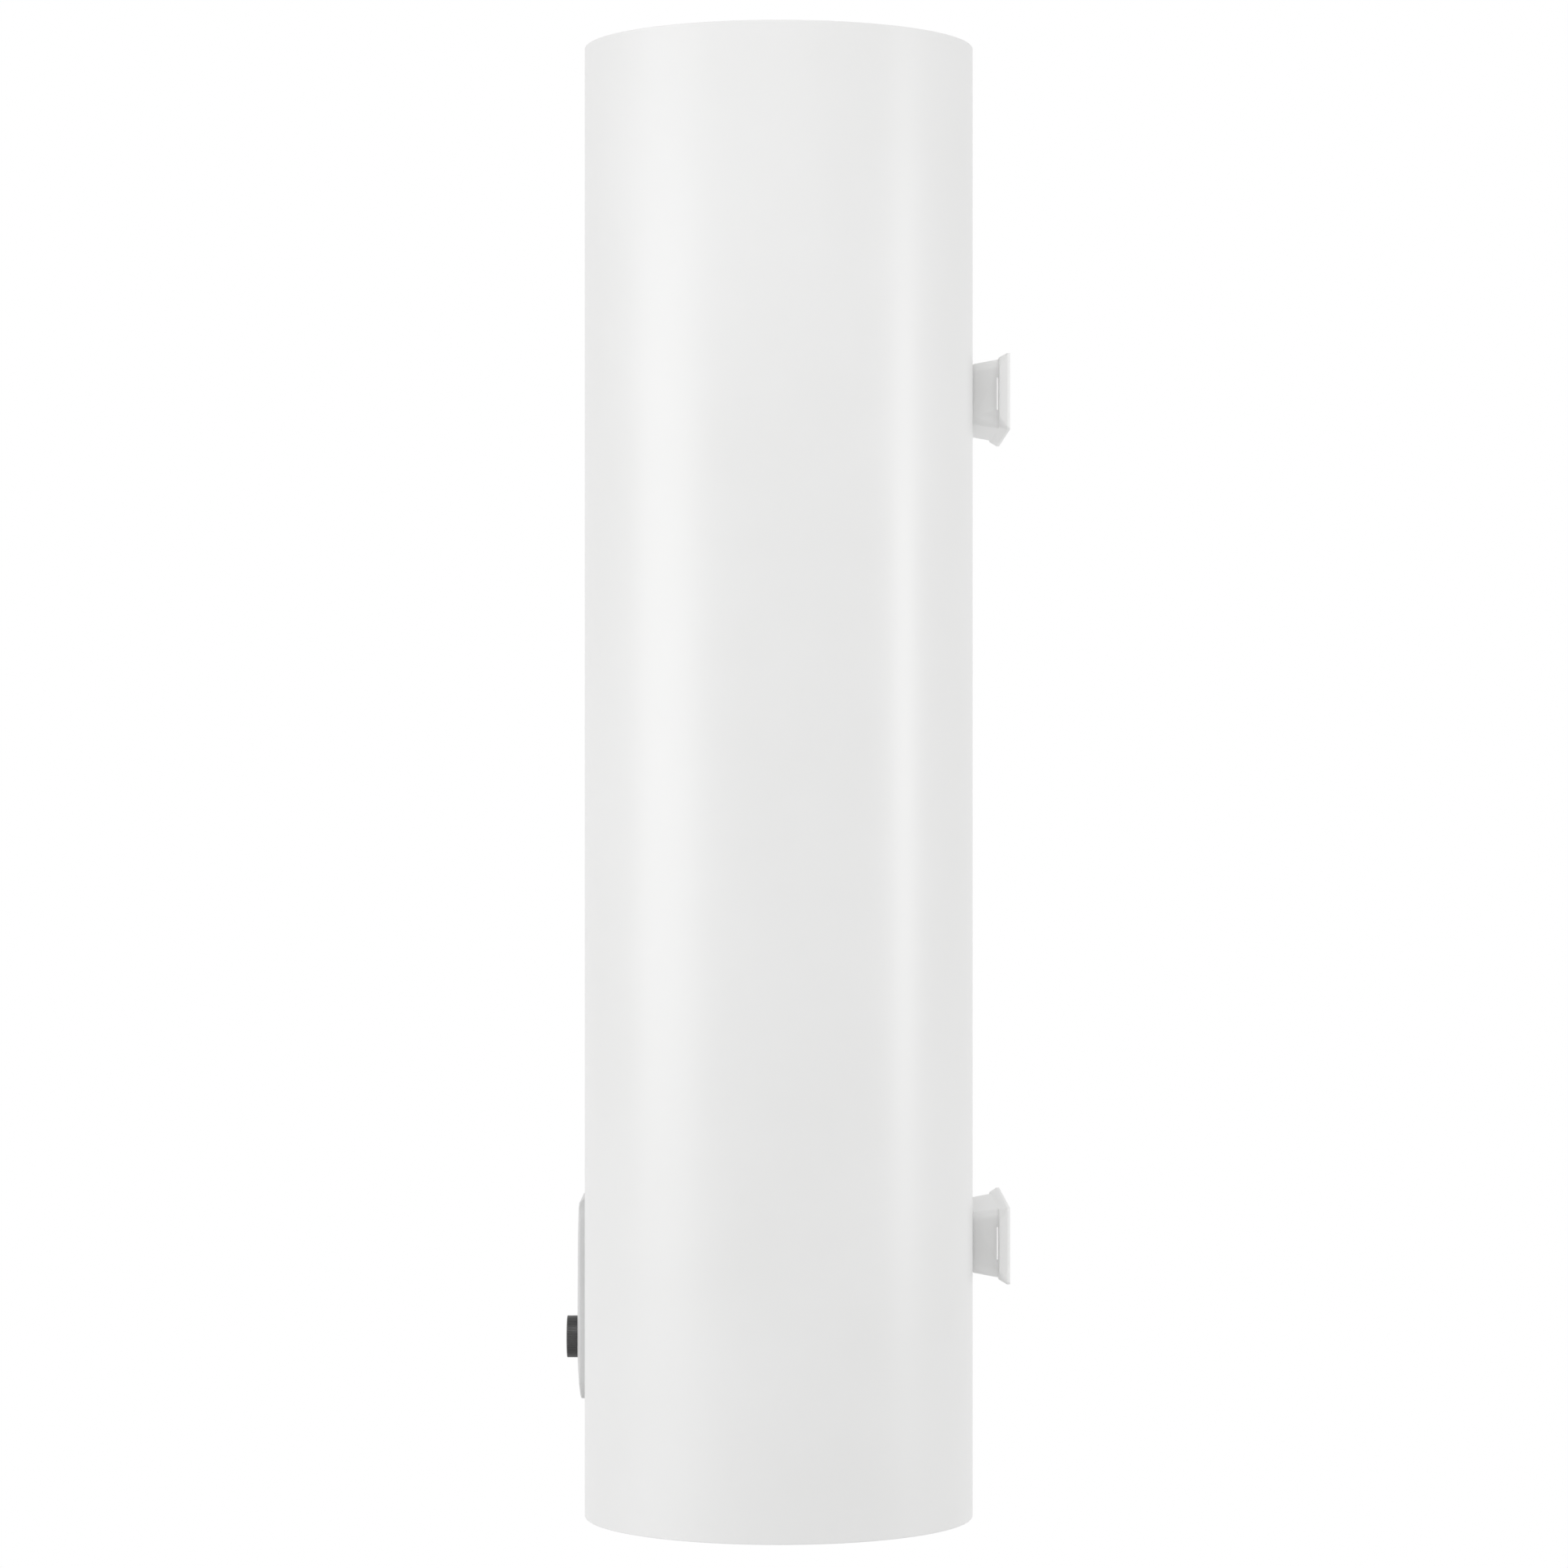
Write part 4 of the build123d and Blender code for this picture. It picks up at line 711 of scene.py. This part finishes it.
def display_digits():
    """Two unlit seven-segment figures, just raised on the dark window's face."""
    digit_x = 7.5 * MM
    half_width = 3.7 * MM
    half_height = 7.4 * MM
    bar = block((6.6 * MM, 0.12 * MM, 1.5 * MM))
    pick(bar, "EDGE", runs_along_y)
    round_edges(0.6 * MM, 1)
    bpy.ops.object.mode_set(mode="OBJECT")
    upright = turned_copy(bar, math.pi / 2)
    flat_places = []
    upright_places = []
    for centre in (-digit_x, digit_x):
        for rise in (-half_height, 0, half_height):
            flat_places.append((centre, WINDOW_FACE, WINDOW_Z + rise))
        for x in (-half_width, half_width):
            for rise in (-half_height / 2, half_height / 2):
                upright_places.append((centre + x, WINDOW_FACE, WINDOW_Z + rise))
    digits = join(copies(bar, flat_places) + copies(upright, upright_places))
    finish_piece(digits, "display_digits", UNLIT_SEGMENT, "heater")


# Turned pieces


def outline(points):
    """A chain of edges in the XZ plane through points given as (radius, height)."""
    deselect_all()
    radius, height = points[0]
    bpy.ops.mesh.primitive_plane_add(size=1 * MM, location=(radius, 0, height))
    chain = settle(bpy.context.object)
    bpy.ops.object.mode_set(mode="EDIT")
    bpy.ops.mesh.select_mode(type="VERT")
    bpy.ops.mesh.select_all(action="SELECT")
    bpy.ops.mesh.merge(type="CENTER")
    for new_radius, new_height in points[1:]:
        step = (new_radius - radius, 0, new_height - height)
        bpy.ops.mesh.extrude_vertices_move(TRANSFORM_OT_translate={"value": step})
        radius, height = new_radius, new_height
    bpy.ops.object.mode_set(mode="OBJECT")
    return chain


def turn(points, sides, rise=0.0, rounds=1):
    """Turns an outline about the Z axis; with a rise for each round it becomes a screw thread."""
    piece = outline(points)
    screw = piece.modifiers.new("turn", "SCREW")
    screw.axis = "Z"
    screw.steps = sides
    screw.render_steps = sides
    screw.screw_offset = rise
    screw.iterations = rounds
    screw.use_merge_vertices = True
    screw.merge_threshold = MERGE
    apply_modifiers(piece)
    bpy.ops.object.mode_set(mode="EDIT")
    bpy.ops.mesh.select_all(action="SELECT")
    bpy.ops.mesh.remove_doubles(threshold=MERGE)
    bpy.ops.mesh.normals_make_consistent(inside=False)
    bpy.ops.object.mode_set(mode="OBJECT")
    return piece


# Water connections


def trim_thread(skin, height, direction):
    """Cuts a thread flat at one end and tucks the cut edge inside the pipe's wall."""
    tuck = 0.4 * MM
    tuck_scale = 0.88
    bpy.ops.object.mode_set(mode="EDIT")
    bpy.ops.mesh.select_all(action="SELECT")
    bpy.ops.mesh.bisect(
        plane_co=(0, 0, height), plane_no=(0, 0, direction), clear_outer=True, threshold=MERGE
    )
    pick(skin, "EDGE", lambda place, way: abs(place.z - height) < NEAR and abs(way.z) < LEVEL)
    draw_in((0, 0, height), tuck_scale, (0, 0, -direction * tuck))


def thread_skin():
    """The cut G 1/2 thread: flat at both ends, closed inside the wall and drawn in at its tip."""
    pitch = 1.814 * MM
    crest = 10.45 * MM
    root = 9.32 * MM
    flat = 0.3 * MM
    flank = pitch / 2 - flat
    outside = 9.0 * MM
    tip_scale = 0.975
    start = THREAD_LOW - 2 * pitch
    profile = [
        (root, start), (root, start + flat), (crest, start + flat + flank),
        (crest, start + 2 * flat + flank), (root, start + pitch),
    ]
    rounds = math.ceil((THREAD_HIGH - THREAD_LOW) / pitch) + 4
    skin = turn(profile, PIPE_SIDES, pitch, rounds)
    trim_thread(skin, THREAD_LOW, -1)
    trim_thread(skin, THREAD_HIGH, 1)
    bpy.ops.mesh.select_non_manifold(extend=False)
    bpy.ops.mesh.bridge_edge_loops()
    bpy.ops.mesh.select_all(action="SELECT")
    bpy.ops.mesh.normals_make_consistent(inside=False)
    for reach in (1.2, 0.9, 0.6, 0.3):
        limit = THREAD_LOW + reach * MM
        pick(
            skin, "VERT",
            lambda place: place.z < limit and math.hypot(place.x, place.y) > outside,
        )
        scale_about((0, 0, THREAD_LOW), tip_scale)
    bpy.ops.object.mode_set(mode="OBJECT")
    return skin


def threaded_nipple(name, side, node):
    """A bored pipe nipple: plain body inside the casing and a thread below it."""
    bore = 8.0 * MM
    core = 9.1 * MM
    body = 11.5 * MM
    edge = 0.8 * MM
    tip_edge = 0.3 * MM
    bore_edge = 0.5 * MM
    tube = turn(
        [
            (bore, NIPPLE_HIGH), (body - edge, NIPPLE_HIGH), (body, NIPPLE_HIGH - edge),
            (body, THREAD_HIGH + edge), (body - edge, THREAD_HIGH), (core, THREAD_HIGH),
            (core, THREAD_LOW + tip_edge), (core - tip_edge, THREAD_LOW),
            (bore + bore_edge, THREAD_LOW), (bore, THREAD_LOW + bore_edge), (bore, NIPPLE_HIGH),
        ],
        PIPE_SIDES,
    )
    nipple = join([tube, thread_skin()])
    move_to(nipple, (side * NIPPLE_X, CASING_Y, 0))
    finish_piece(nipple, name, STAINLESS, "heater", [node], angle=35)


# Cable gland


def gland_hexagon():
    """The rounded hexagon against the cover, open through its middle."""
    half_width = 11.0 * MM
    wall = 4.2 * MM
    flats = hexagon(half_width, GLAND_HEX_LOW, GLAND_SEAT)
    pick(flats, "EDGE", runs_along_z)
    round_edges(0.7 * MM, 3)
    pick(flats, "EDGE", lambda place, way: place.z < GLAND_HEX_LOW + NEAR)
    round_edges(0.6 * MM, 3)
    pick(flats, "FACE", lambda place, normal: abs(normal.z) > SQUARE_ON)
    bpy.ops.mesh.inset(thickness=wall)
    bpy.ops.mesh.bridge_edge_loops()
    return flats


def gland_sleeve(outer, start, end):
    """A plain length of tube with the gland's bore."""
    return turn(
        [
            (GLAND_BORE, start), (outer, start), (outer, end), (GLAND_BORE, end),
            (GLAND_BORE, start),
        ],
        GLAND_SIDES,
    )


def gland_nut():
    """The ribbed dome nut."""
    ribs = 24
    hole = 5.6 * MM
    shoulder = GLAND_TIP + 3.6 * MM
    rib_top = GLAND_NUT_TOP - 0.4 * MM
    rib_foot = 8.5 * MM
    nut = turn(
        [
            (hole, GLAND_NUT_TOP), (9.3 * MM, GLAND_NUT_TOP),
            (9.5 * MM, GLAND_NUT_TOP - 0.3 * MM), (9.0 * MM, shoulder),
            (8.2 * MM, GLAND_TIP + 1.2 * MM), (7.2 * MM, GLAND_TIP + 0.2 * MM),
            (6.6 * MM, GLAND_TIP), (5.9 * MM, GLAND_TIP), (hole, GLAND_TIP + 0.4 * MM),
            (hole, GLAND_NUT_TOP),
        ],
        2 * ribs,
    )

    def in_groove(place, normal):
        upright = shoulder < place.z < rib_top
        on_side = upright and math.hypot(place.x, place.y) > rib_foot
        return on_side and between_ribs(place.x, place.y, ribs)

    cut_grooves(nut, in_groove, margin=0.25 * MM, depth=0.35 * MM)
    return nut


def gland():
    """A cable gland: hexagon against the cover, ribbed dome nut and a rubber seal inside it."""
    thread_radius = 8.0 * MM
    neck_radius = 8.2 * MM
    seal_radius = 5.55 * MM
    flats = gland_hexagon()
    thread = gland_sleeve(thread_radius, GLAND_SEAT, GLAND_TOP)
    nut = gland_nut()
    neck = gland_sleeve(neck_radius, GLAND_HEX_LOW, GLAND_NUT_TOP)
    body = move_to(join([flats, thread, neck, nut]), (0, GLAND_Y, 0))
    finish_piece(body, "gland_body", BLACK_PLASTIC, "heater", ["cable_gland"])
    seal = turn(
        [
            (GLAND_BORE, GLAND_NUT_TOP), (seal_radius, GLAND_NUT_TOP),
            (seal_radius, GLAND_TIP + 0.9 * MM), (5.2 * MM, GLAND_TIP + 0.5 * MM),
            (GLAND_BORE + 0.4 * MM, GLAND_TIP + 0.6 * MM), (GLAND_BORE, GLAND_TIP + 1.1 * MM),
            (GLAND_BORE, GLAND_NUT_TOP),
        ],
        GLAND_SIDES,
    )
    move_to(seal, (0, GLAND_Y, 0))
    finish_piece(seal, "gland_seal", SEAL_RUBBER, "heater")


# Wall brackets


def pressed_bracket(name, node):
    """The pressed pan with its sheet edges and bend lines rounded."""
    pan = settle(twin_of(nodes[node]))
    bpy.ops.mesh.customdata_custom_splitnormals_clear()
    bpy.ops.object.mode_set(mode="EDIT")
    bpy.ops.mesh.select_all(action="SELECT")
    bpy.ops.mesh.remove_doubles(threshold=NEAR)
    bpy.ops.mesh.dissolve_limited(angle_limit=math.radians(1))
    bpy.ops.mesh.normals_make_consistent(inside=False)
    bpy.ops.object.mode_set(mode="OBJECT")
    bevel = pan.modifiers.new("rounding", "BEVEL")
    bevel.width = 0.45 * MM
    bevel.segments = 2
    bevel.limit_method = "ANGLE"
    bevel.angle_limit = math.radians(25)
    bevel.use_clamp_overlap = True
    apply_modifiers(pan)
    finish_piece(pan, name, BRACKET_ENAMEL, "heater", [node], angle=40)


def bolt_head(low, high):
    """An upright hexagon head with lowered corners and a pressed dish in its crown."""
    half_width = 6.5 * MM
    corner = 7.0 * MM
    corner_drop = 0.6 * MM
    dish_depth = 0.5 * MM
    crown = (0, 0, high)
    head = hexagon(half_width, low, high)
    pick(head, "EDGE", runs_along_z)
    round_edges(0.25 * MM, 2)
    pick(head, "FACE", lambda place, normal: normal.z > SQUARE_ON)
    draw_in(crown, 0.88)
    draw_in(crown, 0.70)
    draw_in(crown, 0.88, (0, 0, -dish_depth))
    pick(
        head, "VERT",
        lambda place: place.z > high - NEAR and math.hypot(place.x, place.y) > corner,
    )
    bpy.ops.transform.translate(value=(0, 0, -corner_drop))
    bpy.ops.object.mode_set(mode="OBJECT")
    return head


def bracket_bolts():
    """Hexagon bolts through the brackets, modelled upright and then laid with heads to the wall."""
    shank_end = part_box("bracket_bolts")[0][1]
    shank_radius = 4.0 * MM
    head_height = 5.3 * MM
    head_low = CASING_BACK + BRACKET_SHEET
    head = bolt_head(head_low, head_low + head_height)
    shank = turn(
        [
            (0.0, shank_end), (3.4 * MM, shank_end), (shank_radius, shank_end + 0.7 * MM),
            (shank_radius, head_low), (0.0, head_low),
        ],
        BOLT_SIDES,
    )
    bolt = join([head, shank])
    bolt.rotation_euler = (-math.pi / 2, 0, 0)
    settle(bolt)
    bolts = join(copies(bolt, [(x, 0, z) for z in BRACKET_Z for x in BOLT_X]))
    finish_piece(bolts, "hexagon_bolts", ZINC, "heater", ["bracket_bolts"])


# Studio

LIT_POINT = Vector((0.115, CASING_Y, MID_HEIGHT))
FLOOR_Z = CASING_LOW - 0.25
CAMERA_X = 3.5417
WHITE = (1.0, 1.0, 1.0, 1.0)


def shown_to_viewer(tree):
    """One for rays that the viewer sees directly, in a gloss or through glass, and nought for light."""
    path = tree.nodes.new("ShaderNodeLightPath")
    total = path.outputs["Is Camera Ray"]
    for socket in ("Is Glossy Ray", "Is Transmission Ray"):
        add = tree.nodes.new("ShaderNodeMath")
        add.operation = "ADD"
        add.use_clamp = True
        tree.links.new(total, add.inputs[0])
        tree.links.new(path.outputs[socket], add.inputs[1])
        total = add.outputs["Value"]
    return total


def studio_floor():
    """A pale floor that keeps the heater's shadow, fades to white around it and is clear from below."""
    deselect_all()
    bpy.ops.mesh.primitive_plane_add(size=60, location=(0, 0, FLOOR_Z))
    floor = bpy.context.object
    floor.name = "studio_floor"
    material = bpy.data.materials.new("studio floor")
    material.use_nodes = True
    tree = material.node_tree
    tree.nodes.clear()
    out = tree.nodes.new("ShaderNodeOutputMaterial")
    matt = tree.nodes.new("ShaderNodeBsdfDiffuse")
    matt.inputs["Color"].default_value = (0.92, 0.92, 0.92, 1.0)
    white = tree.nodes.new("ShaderNodeEmission")
    white.inputs["Color"].default_value = WHITE
    both = tree.nodes.new("ShaderNodeMixShader")
    clear = tree.nodes.new("ShaderNodeBsdfTransparent")
    side = tree.nodes.new("ShaderNodeNewGeometry")
    one_sided = tree.nodes.new("ShaderNodeMixShader")
    place = tree.nodes.new("ShaderNodeTexCoord")
    reach = tree.nodes.new("ShaderNodeVectorMath")
    reach.operation = "LENGTH"
    fade = tree.nodes.new("ShaderNodeMapRange")
    fade.inputs["From Min"].default_value = 0.4
    fade.inputs["From Max"].default_value = 1.15
    seen = tree.nodes.new("ShaderNodeMath")
    seen.operation = "MULTIPLY"
    link = tree.links.new
    link(place.outputs["Object"], reach.inputs[0])
    link(reach.outputs["Value"], fade.inputs["Value"])
    link(fade.outputs["Result"], seen.inputs[0])
    link(shown_to_viewer(tree), seen.inputs[1])
    link(seen.outputs["Value"], both.inputs["Fac"])
    link(matt.outputs["BSDF"], both.inputs[1])
    link(white.outputs["Emission"], both.inputs[2])
    link(side.outputs["Backfacing"], one_sided.inputs["Fac"])
    link(both.outputs["Shader"], one_sided.inputs[1])
    link(clear.outputs["BSDF"], one_sided.inputs[2])
    link(one_sided.outputs["Shader"], out.inputs["Surface"])
    floor.data.materials.append(material)


def studio_world():
    """White to the viewer, and a softer even light on the heater."""
    world = bpy.data.worlds.new("studio")
    bpy.context.scene.world = world
    world.use_nodes = True
    tree = world.node_tree
    back = tree.nodes["Background"]
    back.inputs["Color"].default_value = WHITE
    level = tree.nodes.new("ShaderNodeMapRange")
    level.inputs["To Min"].default_value = 0.665
    level.inputs["To Max"].default_value = 1.0
    tree.links.new(shown_to_viewer(tree), level.inputs["Value"])
    tree.links.new(level.outputs["Result"], back.inputs["Strength"])


def softbox(name, offset, size, power):
    """A flat lamp aimed at the lit point from an offset."""
    data = bpy.data.lights.new(name, "AREA")
    data.shape = "RECTANGLE"
    data.size, data.size_y = size
    data.energy = power
    lamp = bpy.data.objects.new(name, data)
    bpy.context.scene.collection.objects.link(lamp)
    lamp.location = LIT_POINT + Vector(offset)
    lamp.rotation_euler = (-Vector(offset)).to_track_quat("-Z", "Y").to_euler()


def studio_lamps():
    """A broad lamp towards the front, a narrow one towards the wall and one from above."""
    reach = 2.6
    rise = 0.1
    for name, degrees, size, power in (
        ("front_softbox", -68, (1.9, 1.2), 16.2),
        ("wall_side_softbox", 77, (0.6, 1.2), 11.2),
    ):
        angle = math.radians(degrees)
        softbox(name, (reach * math.cos(angle), reach * math.sin(angle), rise), size, power)
    softbox("overhead_softbox", (1.8, 0.0, 1.8), (1.6, 1.6), 16.8)


def side_camera():
    """A long lens square on to the heater's right side, at its mid height."""
    data = bpy.data.cameras.new("side_camera")
    data.sensor_width = 36.0
    data.lens = 113.03
    data.shift_x = 0.00336
    data.shift_y = -0.00104
    camera = bpy.data.objects.new("side_camera", data)
    bpy.context.scene.collection.objects.link(camera)
    camera.location = (CAMERA_X, CASING_Y, MID_HEIGHT)
    camera.rotation_euler = (math.pi / 2, 0.0, math.pi / 2)
    bpy.context.scene.camera = camera


paint_nodes()
ribbed_grip()
knob_disc()
knob_pointer()
dial_marks()
display_digits()
threaded_nipple("cold_thread_nipple", 1, "cold_nipple")
threaded_nipple("hot_thread_nipple", -1, "hot_nipple")
gland()
pressed_bracket("upper_pan_bracket", "upper_bracket")
pressed_bracket("lower_pan_bracket", "lower_bracket")
bracket_bolts()
studio_floor()
studio_world()
studio_lamps()
side_camera()
bpy.context.scene.view_settings.view_transform = "Standard"
